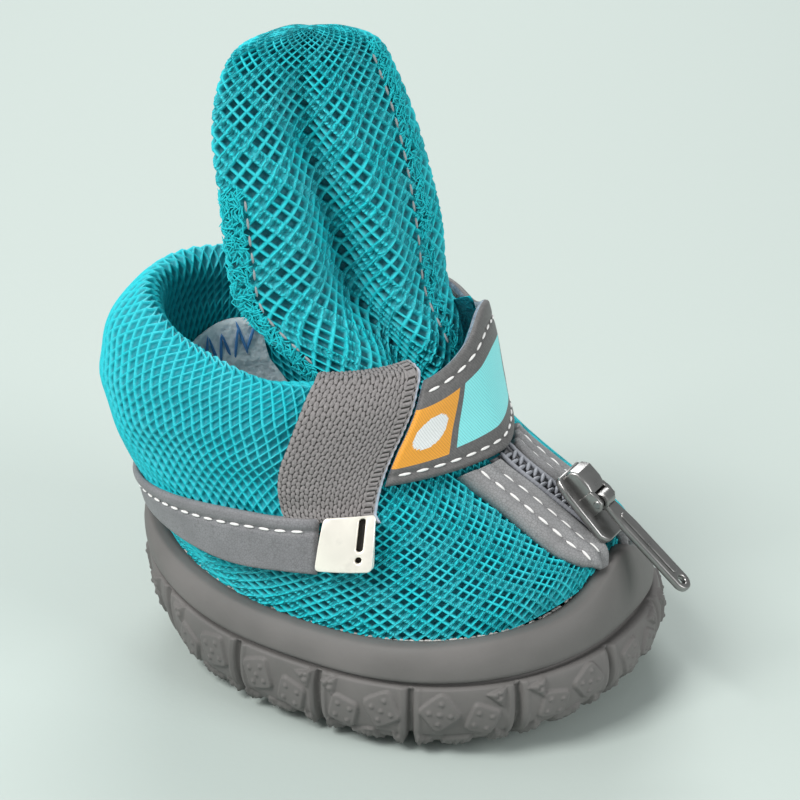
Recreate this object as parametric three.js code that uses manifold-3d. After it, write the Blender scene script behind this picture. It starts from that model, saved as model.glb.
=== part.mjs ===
// Dog boot: a padded mesh bootee on a moulded rubber cup sole, opened by a front zip.
// Millimetres. +X points to the toe, +Y to the boot's left, +Z up, and the ground is z = 0.
// Every soft form is worked out from one skin: rings round the foot, from the cup of the sole to the rim.

import * as THREE from "three";
import { mergeVertices } from "three/addons/utils/BufferGeometryUtils.js";
import Module from "manifold-3d";

const wasm = await Module();
wasm.setup();

// ---------------------------------------------------------------- driving dimensions

const GAP = 0.3; // between pieces that meet
const SOLE_CENTRE_X = 6; // the widest station, under the ball of the paw
const SOLE_SQUARENESS = 2.25;
const TREAD_BLOCKS = 14;
const TREAD_SLIT = 1.1; // depth of the slits between tread blocks
const TREAD_SLIT_ANGLE = 0.022; // half the width of a slit, radians round the sole
const TOE_PEAK = 4.6; // how far the bumper climbs at the middle of the toe
const TOE_PEAK_WIDTH = 7.5;
const LUG = { size: 6.4, height: 1.0, sink: 0.6 };
const LUG_ROWS = [
  { x: -20, count: 3, pitch: 10 },
  { x: -10, count: 5, pitch: 10 },
  { x: 0, count: 5, pitch: 10 },
  { x: 10, count: 5, pitch: 10 },
  { x: 20, count: 3, pitch: 10 },
];
const INSOLE = { stand: 0.5, thickness: 1.6, inset: 2.9 };
const WALL = 1.8; // the upper's spacer mesh
const THROAT = { from: 1.75, to: 6.6, low: 2.0, high: 5.0 }; // half widths of the slot under the zip

// One row for each ring of the outsole, from the underside up the tread and the band, over the lip
// and down into the cup. A ring is level over its flat stretch and rises towards toe and heel.
const SOLE_ROWS = [
  { at: "under middle", z: 1.0, toe: 19.0, heel: -16.0, half: 12.0, toeRise: 0, heelRise: 0, flat: 20 },
  { at: "underside", z: 1.0, toe: 35.0, heel: -28.0, half: 25.0, toeRise: 2.0, heelRise: 2.6, flat: 20 },
  { at: "lower edge", z: 1.4, toe: 38.6, heel: -32.0, half: 28.4, toeRise: 3.4, heelRise: 5.0, flat: 16 },
  { at: "shoulder", z: 3.4, toe: 41.4, heel: -35.4, half: 30.6, toeRise: 3.4, heelRise: 5.4, flat: 12 },
  { at: "tread side", z: 7.0, toe: 42.0, heel: -37.6, half: 31.2, toeRise: 2.8, heelRise: 5.2, flat: 8 },
  { at: "tread top", z: 10.6, toe: 41.2, heel: -38.6, half: 30.8, toeRise: 2.4, heelRise: 4.8, flat: 6 },
];
const BAND_ROWS = [
  { at: "groove foot", z: 10.8, toe: 39.4, heel: -37.8, half: 29.8, toeRise: 2.4, heelRise: 4.8, flat: 6 },
  { at: "groove head", z: 11.4, toe: 39.4, heel: -37.8, half: 29.8, toeRise: 2.5, heelRise: 4.8, flat: 6 },
  { at: "band foot", z: 11.7, toe: 40.4, heel: -39.0, half: 30.5, toeRise: 2.7, heelRise: 4.8, flat: 6 },
  { at: "band side", z: 13.7, toe: 40.1, heel: -39.6, half: 30.1, toeRise: 3.6, heelRise: 4.8, flat: 5 },
  { at: "band shoulder", z: 15.2, toe: 39.2, heel: -39.4, half: 29.2, toeRise: 4.4, heelRise: 4.8, flat: 4 },
  { at: "lip", z: 15.8, toe: 38.2, heel: -38.8, half: 28.2, toeRise: 4.8, heelRise: 4.8, flat: 4 },
];
const CUP_ROWS = [
  { at: "lip inside", z: 15.3, toe: 37.4, heel: -38.0, half: 27.4, toeRise: 4.6, heelRise: 4.8, flat: 4 },
  { at: "cup wall", z: 10.5, toe: 36.6, heel: -36.8, half: 26.8, toeRise: 3.6, heelRise: 4.8, flat: 6 },
  { at: "cup floor", z: 5.0, toe: 33.4, heel: -33.4, half: 24.4, toeRise: 4.4, heelRise: 4.6, flat: 12 },
  { at: "floor middle", z: 5.0, toe: 20.0, heel: -18.0, half: 12.0, toeRise: 4.4, heelRise: 4.6, flat: 12 },
];

// One row for each ring of the skin, the outer face of the foot and ankle. ahead, behind and half are
// its reach to the front, the rear and the side. nose is how full the front is on the boot's right and
// left how full it is on its left, and aside how far it leans across. frontZ, sideZ and rearZ are its
// heights, bend is how late it turns up towards the front, and peak the angle where it is highest.
const SKIN_ROWS = [
  { at: "base", ahead: 33.2, behind: -34, half: 24.6, nose: 2.2, left: 2.2,
    aside: 0, frontZ: 10.5, sideZ: 7.4, rearZ: 11.4, bend: 3, peak: 0 },
  { at: "line", ahead: 36.6, behind: -37.2, half: 26.9, nose: 2.2, left: 2.2,
    aside: 0, frontZ: 23.8, sideZ: 15.6, rearZ: 20, bend: 3, peak: 0 },
  { at: "swell", ahead: 33.4, behind: -38.4, half: 27.6, nose: 1.95, left: 1.75,
    aside: -0.2, frontZ: 27, sideZ: 23.2, rearZ: 22.4, bend: 3, peak: 0 },
  { at: "seam", ahead: 26.4, behind: -39.8, half: 27.6, nose: 1.75, left: 1.42,
    aside: -0.8, frontZ: 31.2, sideZ: 30.4, rearZ: 25.2, bend: 3, peak: 0 },
  { at: "ankle", ahead: 19.6, behind: -44.2, half: 27.4, nose: 1.65, left: 1.38,
    aside: -1.8, frontZ: 36.2, sideZ: 35.4, rearZ: 31.4, bend: 3, peak: 0 },
  { at: "bulge", ahead: 16.8, behind: -46.8, half: 27.4, nose: 1.6, left: 1.48,
    aside: -3, frontZ: 43, sideZ: 40.6, rearZ: 40, bend: 5, peak: 0.1 },
  { at: "shoulder", ahead: 15, behind: -45, half: 25.6, nose: 1.65, left: 1.57,
    aside: -3.6, frontZ: 50.2, sideZ: 46, rearZ: 48.4, bend: 8, peak: 0.25 },
  { at: "rim", ahead: 13.2, behind: -40.4, half: 22.2, nose: 1.7, left: 1.67,
    aside: -4, frontZ: 56.4, sideZ: 49.4, rearZ: 54.2, bend: 10, peak: 0.35 },
];
const HEEL_SQUARENESS = 2.2; // the nose column is the same for the front half of a ring
const UPPER_SEAM = 2.88; // where the upper ends under the collar's seam
const TOP_LEVEL = 6.2; // how far up the front runs under the strap
const RIM_LEVEL = 7;
const FRONT_CROWDING = 0.45; // draws the upper's columns together at the toe, where it bends most
// Where the upper's top edge runs down to the seam, by angle from the toe, and how the collar's front
// edge keeps clear of it: gap at the outside, and more as it goes deeper.
const STEP = { start: 0.6, end: 1.06, gap: 0.06, taper: 0.08 };

// The collar's section from the seam up its outer face, over the rim and down the inside: each row
// is a level of the skin, how far in from it, and how far above it.
const COLLAR_ROWS = [
  { at: "seam", level: 3.04, deep: 0.0, lift: 0 },
  { at: "lower face", level: 3.6, deep: 0.0, lift: 0 },
  { at: "swell", level: 4.2, deep: 0.0, lift: 0 },
  { at: "bulge", level: 5.0, deep: 0.0, lift: 0 },
  { at: "upper face", level: 5.7, deep: 0.0, lift: 0 },
  { at: "shoulder", level: 6.4, deep: 0.0, lift: 0 },
  { at: "rim outside", level: 7.0, deep: 0.6, lift: 0.2 },
  { at: "crown", level: 7.0, deep: 2.8, lift: 1.2 },
  { at: "rim inside", level: 6.8, deep: 5.4, lift: 0.6 },
  { at: "inner shoulder", level: 6.0, deep: 7.8, lift: 0 },
  { at: "inner bulge", level: 5.0, deep: 8.8, lift: 0 },
  { at: "inner face", level: 4.0, deep: 8.0, lift: 0 },
  { at: "lining", level: 3.0, deep: 5.6, lift: 0 },
  { at: "lining foot", level: 2.0, deep: 4.0, lift: 0 },
  { at: "lining back", level: 2.0, deep: 2.2, lift: 0 },
  { at: "wall top", level: 3.04, deep: 2.2, lift: 0 },
];

// The tongue's near and far edges, from its foot inside the boot to its tip. bow pushes its middle
// forward, crease is the depth of the valley along it, and thick is the padding.
const TONGUE_ROWS = [
  { at: "foot", z: 30, nearX: 4.0, nearY: -8.0, farX: 12.0, farY: 4.0,
    bow: 0.6, crease: 0.0, thick: 3.4 },
  { at: "waist", z: 42, nearX: -1.0, nearY: -12.0, farX: 9.4, farY: 6.0,
    bow: 1.6, crease: 1.2, thick: 4.4 },
  { at: "rim", z: 49, nearX: -8.0, nearY: -14.0, farX: 7.4, farY: 8.3,
    bow: 2.4, crease: 2.0, thick: 5.0 },
  { at: "neck", z: 56, nearX: -16.4, nearY: -15.0, farX: 3.2, farY: 11.2,
    bow: 3.0, crease: 2.4, thick: 5.4 },
  { at: "back", z: 64, nearX: -18.2, nearY: -15.2, farX: 1.2, farY: 13.0,
    bow: 3.2, crease: 2.6, thick: 5.4 },
  { at: "body", z: 72, nearX: -19.2, nearY: -14.8, farX: -1.0, farY: 13.0,
    bow: 3.2, crease: 2.4, thick: 5.4 },
  { at: "shoulder", z: 80, nearX: -21.0, nearY: -13.4, farX: -2.8, farY: 11.6,
    bow: 3.0, crease: 1.8, thick: 5.2 },
  { at: "head", z: 87, nearX: -21.0, nearY: -11.6, farX: -4.2, farY: 9.0,
    bow: 2.4, crease: 1.0, thick: 4.8 },
  { at: "crown", z: 92, nearX: -19.6, nearY: -8.6, farX: -5.4, farY: 6.0,
    bow: 1.6, crease: 0.4, thick: 3.6 },
  { at: "tip", z: 94.6, nearX: -15.6, nearY: -4.6, farX: -8.6, farY: 1.8,
    bow: 0.6, crease: 0.0, thick: 1.8 },
];

// The facings beside the zip, from the toe up under the strap: their edges across from the middle, and
// how far they stand off the skin. roll is how much more the folded inner edge stands.
const FACING_ROWS = [
  { at: "toe", level: 1.3, inner: 2.6, outer: 5.6, top: 1.0 },
  { at: "flare", level: 1.6, inner: 2.3, outer: 8.6, top: 1.2 },
  { at: "waist", level: 2.2, inner: 2.3, outer: 9.4, top: 1.3 },
  { at: "middle", level: 3.0, inner: 2.4, outer: 9.2, top: 1.7 },
  { at: "head", level: 3.9, inner: 2.8, outer: 9.4, top: 1.8 },
];
const FACING = { stand: 0.55, roll: 0.35, rollWidth: 1.6 };

// The two halves of the zip: tape and coil standing on edge in the throat.
const ZIP = { from: 2.8, to: 3.9, near: 0.25, far: 1.55, low: -1.0, high: 3.2 };

// The slider at the toe end of the zip, in its own frame: u along it to the toe, v across, w out.
const SLIDER = { x: 33.05, y: -0.3, z: 30.6, slope: 0.77, plate: 1.1 };
const PIVOT = { u: 0.6, w: 2.7, pin: 0.6, clearance: 0.15, eye: 1.3 };
const TAB = { lift: 0.09, length: 17.4, rootHalf: 1.2, endHalf: 1.6, thick: 1.3, hole: 0.65 };

// The band round the heel that covers the collar's seam, in equal turns from the rear to its ends.
const STRIP_ROWS = [
  { at: "rear", turn: 0.0, low: 1.9, high: 3.1 },
  { at: "quarter", turn: 0.6, low: 1.95, high: 3.15 },
  { at: "side", turn: 1.2, low: 1.95, high: 3.2 },
  { at: "front", turn: 1.8, low: 2.2, high: 3.35 },
];
const STRIP = { thick: 1.0, stand: 0.35, lean: 0.16 };
const TIP = { turn: 1.82, reach: 0.3, stand: 0.5, thick: 2.5, low: 2.35, high: 3.35 };

// The woven tab up the near side and over the rim, and the ankle strap that starts in front of it.
// start and end are rows of the collar's section, low and high its edges at the foot and at the rim.
const WEBBING = {
  start: 1, end: 8, foot: 3.4, stand: 0.6, thick: 1.1,
  lowRear: -1.46, lowFront: -0.96, highRear: -1.2, highFront: -0.36,
};
const STRAP = { low: 4.05, high: 6.75, far: 1.75, stand: 0.7, thick: 1.3, columns: 22 };

// ---------------------------------------------------------------- forms

const clamp = (v, low = 0, high = 1) => Math.min(high, Math.max(low, v));
const smooth = (v) => clamp(v) ** 2 * (3 - 2 * clamp(v));
const mix = (a, b, t) => a + (b - a) * t;
const around = (count) => Array.from({ length: count }, (_, i) => (2 * Math.PI * i) / count);
const steps = (count) => Array.from({ length: count + 1 }, (_, i) => i / count);

// The triangles that close a ring of a flat band, whose second half runs back along its first.
function stripCap(start, size) {
  return steps(size / 2 - 2).flatMap((_, i) => {
    const [a, b] = [start + i, start + i + 1];
    const [c, d] = [start + size - 2 - i, start + size - 1 - i];
    return [a, c, b, a, d, c];
  });
}

// The triangles that close a ring from a point at its middle.
const fanCap = (start, size, middle) =>
  around(size).flatMap((_, i) => [middle, start + ((i + 1) % size), start + i]);

const reversed = (index) => [...index].reverse();

// A closed form through rings of equal length. With closed set the last ring joins the first;
// otherwise the two ends are capped: from their own middles, or straight across where flat is set.
function loft(rings, { closed = false, flat = false } = {}) {
  const size = rings[0].length;
  const points = rings.flat();
  const index = [];
  const spans = closed ? rings.length : rings.length - 1;
  for (let i = 0; i < spans; i++) {
    for (let j = 0; j < size; j++) {
      const k = (j + 1) % size;
      const [a, b] = [i * size + j, i * size + k];
      const [c, d] = [((i + 1) % rings.length) * size + k, ((i + 1) % rings.length) * size + j];
      index.push(a, b, c, a, c, d);
    }
  }
  if (!closed) {
    const caps = [rings[0], rings[rings.length - 1]].map((ring, end) => {
      const start = end * (rings.length - 1) * size;
      if (flat) return stripCap(start, size);
      const middle = new THREE.Vector3();
      ring.forEach((p) => middle.addScaledVector(p, 1 / size));
      points.push(middle);
      return fanCap(start, size, points.length - 1);
    });
    index.push(...caps[0], ...reversed(caps[1]));
  }
  const geometry = new THREE.BufferGeometry().setFromPoints(points).setIndex(index);
  return facingOut(geometry);
}

// Turns the faces round where the form came out inside out.
function facingOut(geometry) {
  const p = geometry.getAttribute("position");
  const order = geometry.index.array;
  const [a, b, c] = [new THREE.Vector3(), new THREE.Vector3(), new THREE.Vector3()];
  let volume = 0;
  for (let i = 0; i < order.length; i += 3) {
    a.fromBufferAttribute(p, order[i]);
    b.fromBufferAttribute(p, order[i + 1]);
    c.fromBufferAttribute(p, order[i + 2]);
    volume += a.dot(b.cross(c));
  }
  if (volume < 0) {
    for (let i = 0; i < order.length; i += 3) {
      [order[i + 1], order[i + 2]] = [order[i + 2], order[i + 1]];
    }
  }
  return geometry;
}

function solidOf(geometry) {
  const bare = geometry.clone();
  bare.deleteAttribute("normal");
  bare.deleteAttribute("uv");
  const merged = mergeVertices(bare, 1e-4);
  return new wasm.Manifold(
    new wasm.Mesh({
      numProp: 3,
      vertProperties: merged.getAttribute("position").array,
      triVerts: new Uint32Array(merged.index.array),
    }),
  );
}

function geometryOf(solid) {
  const mesh = solid.getMesh();
  const geometry = new THREE.BufferGeometry();
  geometry.setAttribute("position", new THREE.BufferAttribute(mesh.vertProperties, 3));
  return geometry.setIndex(new THREE.BufferAttribute(mesh.triVerts, 1));
}

const joined = (...shapes) => geometryOf(shapes.map(solidOf).reduce((a, b) => a.add(b)));
const cutAway = (shape, ...cutters) =>
  geometryOf(cutters.map(solidOf).reduce((a, b) => a.subtract(b), solidOf(shape)));

// An egg-shaped outline: its radius at an angle, for a reach ahead, behind and to the side.
function eggRadius(angle, ahead, behind, half, squareness) {
  const along = Math.abs(Math.cos(angle)) / (Math.cos(angle) > 0 ? ahead : behind);
  const across = Math.abs(Math.sin(angle)) / half;
  return (along ** squareness + across ** squareness) ** (-1 / squareness);
}

// A row of a table at a level between its rows, on a smooth curve through them.
function rowAt(rows, level) {
  const at = clamp(level, 0, rows.length - 1);
  const i = Math.min(Math.floor(at), rows.length - 2);
  const t = at - i;
  const near = [i - 1, i, i + 1, i + 2].map((k) => rows[clamp(k, 0, rows.length - 1)]);
  const blend = (key) => {
    const [a, b, c, d] = near.map((row) => row[key]);
    const curve = 2 * b + (c - a) * t + (2 * a - 5 * b + 4 * c - d) * t ** 2;
    return 0.5 * (curve + (3 * b - a - 3 * c + d) * t ** 3);
  };
  return Object.fromEntries(Object.keys(rows[0]).filter((k) => k !== "at").map((k) => [k, blend(k)]));
}

// ---------------------------------------------------------------- sole

function solePoint(row, angle, inset = 0) {
  const ahead = row.toe - SOLE_CENTRE_X;
  const behind = SOLE_CENTRE_X - row.heel;
  const r = eggRadius(angle, ahead, behind, row.half, SOLE_SQUARENESS) - inset;
  const x = SOLE_CENTRE_X + r * Math.cos(angle);
  const y = r * Math.sin(angle);
  const toe = clamp((x - row.flat) / (41 - row.flat)) ** 2;
  const heel = clamp((-x - row.flat) / (39 - row.flat)) ** 2;
  return new THREE.Vector3(x, y, row.z + row.toeRise * toe + row.heelRise * heel);
}

// The lip climbs to a soft peak at the middle of the toe, where the zip ends.
function bandPoint(row, angle, share) {
  const point = solePoint(row, angle);
  if (point.x > 0) {
    point.z += TOE_PEAK * share * Math.exp(-((point.y / TOE_PEAK_WIDTH) ** 2));
  }
  return point;
}

// Angles round the sole: each tread block has a slit's four columns and three of its own.
function soleAngles() {
  const block = (2 * Math.PI) / TREAD_BLOCKS;
  return Array.from({ length: TREAD_BLOCKS }, (_, b) => {
    const slit = (b + 0.5) * block;
    const face = [0.25, 0.5, 0.75].map((share) => ({ angle: slit + share * block, slit: false }));
    return [
      { angle: slit - TREAD_SLIT_ANGLE * 1.6, slit: false },
      { angle: slit - TREAD_SLIT_ANGLE, slit: true },
      { angle: slit + TREAD_SLIT_ANGLE, slit: true },
      { angle: slit + TREAD_SLIT_ANGLE * 1.6, slit: false },
      ...face,
    ];
  }).flat();
}

// A small block under the sole with its foot on the ground.
function lugShape(x, y) {
  const height = LUG.height + LUG.sink;
  return new THREE.BoxGeometry(LUG.size, LUG.size, height).translate(x, y, height / 2);
}

function soleShape() {
  const columns = soleAngles();
  const shares = [0, 0.05, 0.12, 0.55, 0.85, 1];
  const tread = SOLE_ROWS.map((row, i) =>
    columns.map(({ angle, slit }) => solePoint(row, angle, slit && i > 0 ? TREAD_SLIT : 0)),
  );
  const band = BAND_ROWS.map((row, i) => columns.map(({ angle }) => bandPoint(row, angle, shares[i])));
  const cup = CUP_ROWS.map((row, i) => columns.map(({ angle }) => bandPoint(row, angle, i ? 0 : 1)));
  const lugs = LUG_ROWS.flatMap(({ x, count, pitch }) =>
    steps(count - 1).map((t) => lugShape(x, (t - 0.5) * (count - 1) * pitch)),
  );
  return joined(loft([...tread, ...band, ...cup]), ...lugs);
}

// A thin pad on the cup's floor, inside the upper's foot.
function insoleShape() {
  const columns = 40;
  const [floor, middle] = CUP_ROWS.slice(-2);
  const ring = (row, lift, inset) =>
    around(columns).map((angle) => solePoint({ ...row, z: row.z + lift }, angle, inset));
  const top = INSOLE.stand + INSOLE.thickness;
  return loft([
    ring(middle, INSOLE.stand, 0),
    ring(floor, INSOLE.stand, INSOLE.inset),
    ring(floor, top, INSOLE.inset),
    ring(middle, top, 0),
  ]);
}

// ---------------------------------------------------------------- upper

// A point of the skin at an angle from the toe and a level of the table.
function skinBase(angle, level) {
  const row = rowAt(SKIN_ROWS, level);
  const centre = mix(SOLE_CENTRE_X, -8, smooth(level / 5));
  const nose = Math.sin(angle) > 0 ? row.left : row.nose;
  const squareness = Math.cos(angle) > 0 ? nose : HEEL_SQUARENESS;
  const r = eggRadius(angle, row.ahead - centre, centre - row.behind, row.half, squareness);
  const front = Math.max(Math.cos(angle), 0);
  const rear = Math.min(Math.cos(angle), 0);
  const lift = (row.frontZ - row.sideZ) * Math.max(Math.cos(angle - row.peak), 0) ** row.bend;
  const z = row.sideZ + lift + (row.rearZ - row.sideZ) * rear ** 2;
  const y = r * Math.sin(angle) + row.aside * front ** 2;
  return new THREE.Vector3(centre + r * Math.cos(angle), y, z);
}

// The skin moved out along its own normal, or in where out is negative.
function skin(angle, level, out = 0) {
  const step = 0.01;
  const low = Math.max(level - step, 0);
  const high = Math.min(level + step, SKIN_ROWS.length - 1);
  const round = skinBase(angle + step, level).sub(skinBase(angle - step, level));
  const up = skinBase(angle, high).sub(skinBase(angle, low));
  return skinBase(angle, level).addScaledVector(round.cross(up).normalize(), out);
}

// The upper's top edge: at the collar's seam behind, rising under the strap at the front.
function upperTop(angle) {
  const turn = Math.abs(Math.atan2(Math.sin(angle), Math.cos(angle)));
  return mix(TOP_LEVEL, UPPER_SEAM, clamp((turn - STEP.start) / (STEP.end - STEP.start)));
}

// The collar's front edge at a level, just behind the upper's.
function collarFront(level, deep) {
  const share = (TOP_LEVEL - level) / (TOP_LEVEL - UPPER_SEAM);
  return mix(STEP.start, STEP.end, share) + STEP.gap + STEP.taper * deep;
}

// The slot under the zip, a narrow wedge that opens towards the top.
function throatCutter() {
  const wall = (level, half, lift) => {
    const out = skin(0, level, lift);
    return [-half, half].map((y) => new THREE.Vector3(out.x, out.y + y, out.z));
  };
  const reach = WALL * 3;
  const rings = steps(6).map((t) => {
    const level = mix(THROAT.from, THROAT.to, t);
    const half = mix(THROAT.low, THROAT.high, t);
    return [...wall(level, half, reach), ...wall(level, half, -reach).reverse()];
  });
  return loft(rings);
}

function upperShape() {
  const columns = 60;
  const shares = [0, 0.1, 0.22, 0.34, 0.46, 0.58, 0.72, 0.86, 1];
  const rings = around(columns).map((turn) => {
    const angle = turn - FRONT_CROWDING * Math.sin(turn);
    const top = upperTop(angle);
    const outer = shares.map((share) => skin(angle, share * top));
    const inner = shares.map((share) => skin(angle, share * top, -WALL));
    return [...outer, ...inner.reverse()];
  });
  return cutAway(loft(rings, { closed: true }), throatCutter());
}

// ---------------------------------------------------------------- collar and tongue

function collarShape() {
  const columns = 40;
  const rings = steps(columns).map((t) => {
    return COLLAR_ROWS.map(({ level, deep, lift }) => {
      const front = collarFront(level, deep);
      const angle = mix(front, 2 * Math.PI - front, t);
      const point = skin(angle, level, -deep);
      point.z += lift;
      return point;
    });
  });
  return loft(rings);
}

// A section of the tongue at a row: a bowed pad with a valley along its front.
function tongueRing(row) {
  const near = new THREE.Vector3(row.nearX, row.nearY, row.z);
  const far = new THREE.Vector3(row.farX, row.farY, row.z);
  const chord = far.clone().sub(near).normalize();
  const forward = new THREE.Vector3(chord.y, -chord.x, 0);
  const sections = 12;
  const face = (side) =>
    steps(sections).map((t) => {
      const arch = Math.sin(Math.PI * t);
      const valley = Math.exp(-(((t - 0.46) / 0.12) ** 2));
      const pad = (row.thick / 2) * Math.sqrt(Math.max(1 - (2 * t - 1) ** 4, 0.02));
      const out = row.bow * arch - row.crease * valley + side * pad;
      return near.clone().lerp(far, t).addScaledVector(forward, out);
    });
  return [...face(1), ...face(-1).reverse()];
}

function tongueShape() {
  const count = 20;
  const last = TONGUE_ROWS.length - 1;
  return loft(steps(count).map((t) => tongueRing(rowAt(TONGUE_ROWS, t * last))), { flat: true });
}

// ---------------------------------------------------------------- facings and zip

// The skin where it is a given distance across from the zip's line.
function across(level, fromZip, out = 0) {
  const y = skinBase(0, level).y + fromZip;
  let [low, high] = [-Math.PI / 2, Math.PI / 2];
  for (let i = 0; i < 30; i++) {
    const middle = (low + high) / 2;
    if (skin(middle, level, out).y < y) low = middle;
    else high = middle;
  }
  return skin((low + high) / 2, level, out);
}

// side is -1 for the boot's right and +1 for its left.
function facingShape(side) {
  const count = 16;
  const rings = steps(count).map((t) => {
    const row = rowAt(FACING_ROWS, t * (FACING_ROWS.length - 1));
    const roll = row.inner + FACING.rollWidth;
    const half = (row.inner + row.outer) / 2;
    return [
      across(row.level, side * row.inner, FACING.stand),
      across(row.level, side * row.inner, row.top),
      across(row.level, side * (row.inner + roll) / 2, row.top + FACING.roll),
      across(row.level, side * roll, row.top),
      across(row.level, side * half, row.top),
      across(row.level, side * row.outer, row.top - FACING.roll),
      across(row.level, side * row.outer, FACING.stand),
      across(row.level, side * half, FACING.stand),
    ];
  });
  return loft(rings);
}

function zipShape(side) {
  const count = 14;
  const rings = steps(count).map((t) => {
    const level = mix(ZIP.from, ZIP.to, t);
    const [low, high] = [skin(0, level, ZIP.low), skin(0, level, ZIP.high)];
    const at = (point, y) => new THREE.Vector3(point.x, point.y + side * y, point.z);
    return [at(low, ZIP.near), at(low, ZIP.far), at(high, ZIP.far), at(high, ZIP.near)];
  });
  return loft(rings);
}

// ---------------------------------------------------------------- slider and pull tab

function block([u0, u1], [v0, v1], [w0, w1]) {
  const box = new THREE.BoxGeometry(u1 - u0, v1 - v0, w1 - w0);
  return box.translate((u0 + u1) / 2, (v0 + v1) / 2, (w0 + w1) / 2);
}

// A round bar across the slider, along v.
const crossBar = (radius, half, u, w) =>
  new THREE.CylinderGeometry(radius, radius, 2 * half, 20).translate(u, 0, w);

function sliderShape() {
  const outline = new THREE.Shape();
  outline.moveTo(-5.8, -3.2);
  outline.lineTo(-3.4, -4.0);
  outline.lineTo(4.6, -4.0);
  outline.lineTo(5.8, -2.8);
  outline.lineTo(5.8, 2.8);
  outline.lineTo(4.6, 4.0);
  outline.lineTo(-3.4, 4.0);
  outline.lineTo(-5.8, 3.2);
  const plate = new THREE.ExtrudeGeometry(outline, { depth: SLIDER.plate, bevelEnabled: false });
  const housing = block([-5.6, -0.9], [-2.3, 2.3], [0.6, 3.4]);
  const ears = [-1, 1].map((side) => {
    const [low, high] = side < 0 ? [-2.3, -1.5] : [1.5, 2.3];
    return block([-1.4, PIVOT.u + 1.1], [low, high], [0.6, 3.4]);
  });
  return joined(plate, housing, ...ears, crossBar(PIVOT.pin, 2.0, PIVOT.u, PIVOT.w));
}

// The tab in the frame of its pivot, lying along u.
function pullTabShape() {
  const half = TAB.thick / 2;
  const outline = new THREE.Shape();
  outline.moveTo(PIVOT.eye * 0.7, -TAB.rootHalf);
  outline.lineTo(TAB.length * 0.3, -TAB.endHalf);
  outline.lineTo(TAB.length - TAB.endHalf, -TAB.endHalf);
  outline.absarc(TAB.length - TAB.endHalf, 0, TAB.endHalf, -Math.PI / 2, Math.PI / 2, false);
  outline.lineTo(TAB.length * 0.3, TAB.endHalf);
  outline.lineTo(PIVOT.eye * 0.7, TAB.rootHalf);
  const hole = new THREE.Path();
  hole.absarc(TAB.length - TAB.endHalf, 0, TAB.hole, 0, 2 * Math.PI, true);
  outline.holes.push(hole);
  const blade = new THREE.ExtrudeGeometry(outline, {
    depth: TAB.thick,
    bevelEnabled: false,
    curveSegments: 8,
  }).translate(0, 0, -half);
  const eye = joined(blade, crossBar(PIVOT.eye, TAB.rootHalf, 0, 0));
  return cutAway(eye, crossBar(PIVOT.pin + PIVOT.clearance, TAB.rootHalf * 2, 0, 0));
}

// ---------------------------------------------------------------- straps

// A flat band on the skin: one ring for each place along it, from its lower to its upper edge.
function bandRing(angleAt, low, high, out, thick, folds = 4) {
  const edge = (lift) => steps(folds).map((t) => skin(angleAt(t), mix(low, high, t), lift));
  return [...edge(out), ...edge(out + thick).reverse()];
}

// The angle across the strip's height: its ends stand upright though the rings' middles shift back.
const stripAngle = (turn) => (height) => Math.PI + turn + STRIP.lean * Math.sin(turn) * (height - 0.5);

function sideStripShape() {
  const count = 44;
  const last = STRIP_ROWS.length - 1;
  const reach = STRIP_ROWS[last].turn;
  const rings = steps(count).map((t) => {
    const turn = mix(-reach, reach, t);
    const row = rowAt(STRIP_ROWS, (last * Math.abs(turn)) / reach);
    return bandRing(stripAngle(turn), row.low, row.high, STRIP.stand, STRIP.thick);
  });
  return loft(rings, { flat: true });
}

function stripTipShape() {
  const rings = steps(4).map((t) => {
    const angleAt = stripAngle(TIP.turn + TIP.reach * t);
    return bandRing(angleAt, TIP.low, TIP.high, TIP.stand, TIP.thick, 2);
  });
  return loft(rings, { flat: true });
}

// The strap's near end follows the webbing's front edge.
function webbingEdge(level, low, high) {
  return mix(low, high, clamp((level - WEBBING.foot) / (RIM_LEVEL - WEBBING.foot)));
}

function strapShape() {
  const rings = steps(STRAP.columns).map((t) => {
    const angleAt = (height) => {
      const level = mix(STRAP.low, STRAP.high, height);
      return mix(webbingEdge(level, WEBBING.lowFront, WEBBING.highFront) + 0.02, STRAP.far, t);
    };
    return bandRing(angleAt, STRAP.low, STRAP.high, STRAP.stand, STRAP.thick);
  });
  return loft(rings, { flat: true });
}

// From the seam up the collar's outer face, over the crown and a little way down inside.
function webbingShape() {
  const count = 8;
  const path = steps(14).map((t) => rowAt(COLLAR_ROWS, mix(WEBBING.start, WEBBING.end, t)));
  const rings = steps(count).map((t) =>
    path.map(({ level, deep, lift }) => {
      const rear = webbingEdge(level, WEBBING.lowRear, WEBBING.highRear);
      const front = webbingEdge(level, WEBBING.lowFront, WEBBING.highFront);
      const point = skin(mix(rear, front, t), level, -deep);
      point.z += lift;
      return point;
    }),
  );
  return thickened(rings, WEBBING.stand, WEBBING.thick);
}

// A sheet given by rows of points, lifted off by stand and made thick.
function thickened(grid, stand, thick) {
  const normal = (i, j) => {
    const [rows, columns] = [grid.length - 1, grid[0].length - 1];
    const along = grid[Math.min(i + 1, rows)][j].clone().sub(grid[Math.max(i - 1, 0)][j]);
    const up = grid[i][Math.min(j + 1, columns)].clone().sub(grid[i][Math.max(j - 1, 0)]);
    return along.cross(up).normalize();
  };
  const lifted = (i, out) => grid[i].map((p, j) => p.clone().addScaledVector(normal(i, j), out));
  const rings = grid.map((_, i) => [...lifted(i, stand), ...lifted(i, stand + thick).reverse()]);
  return loft(rings, { flat: true });
}

// ---------------------------------------------------------------- assembly

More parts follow.
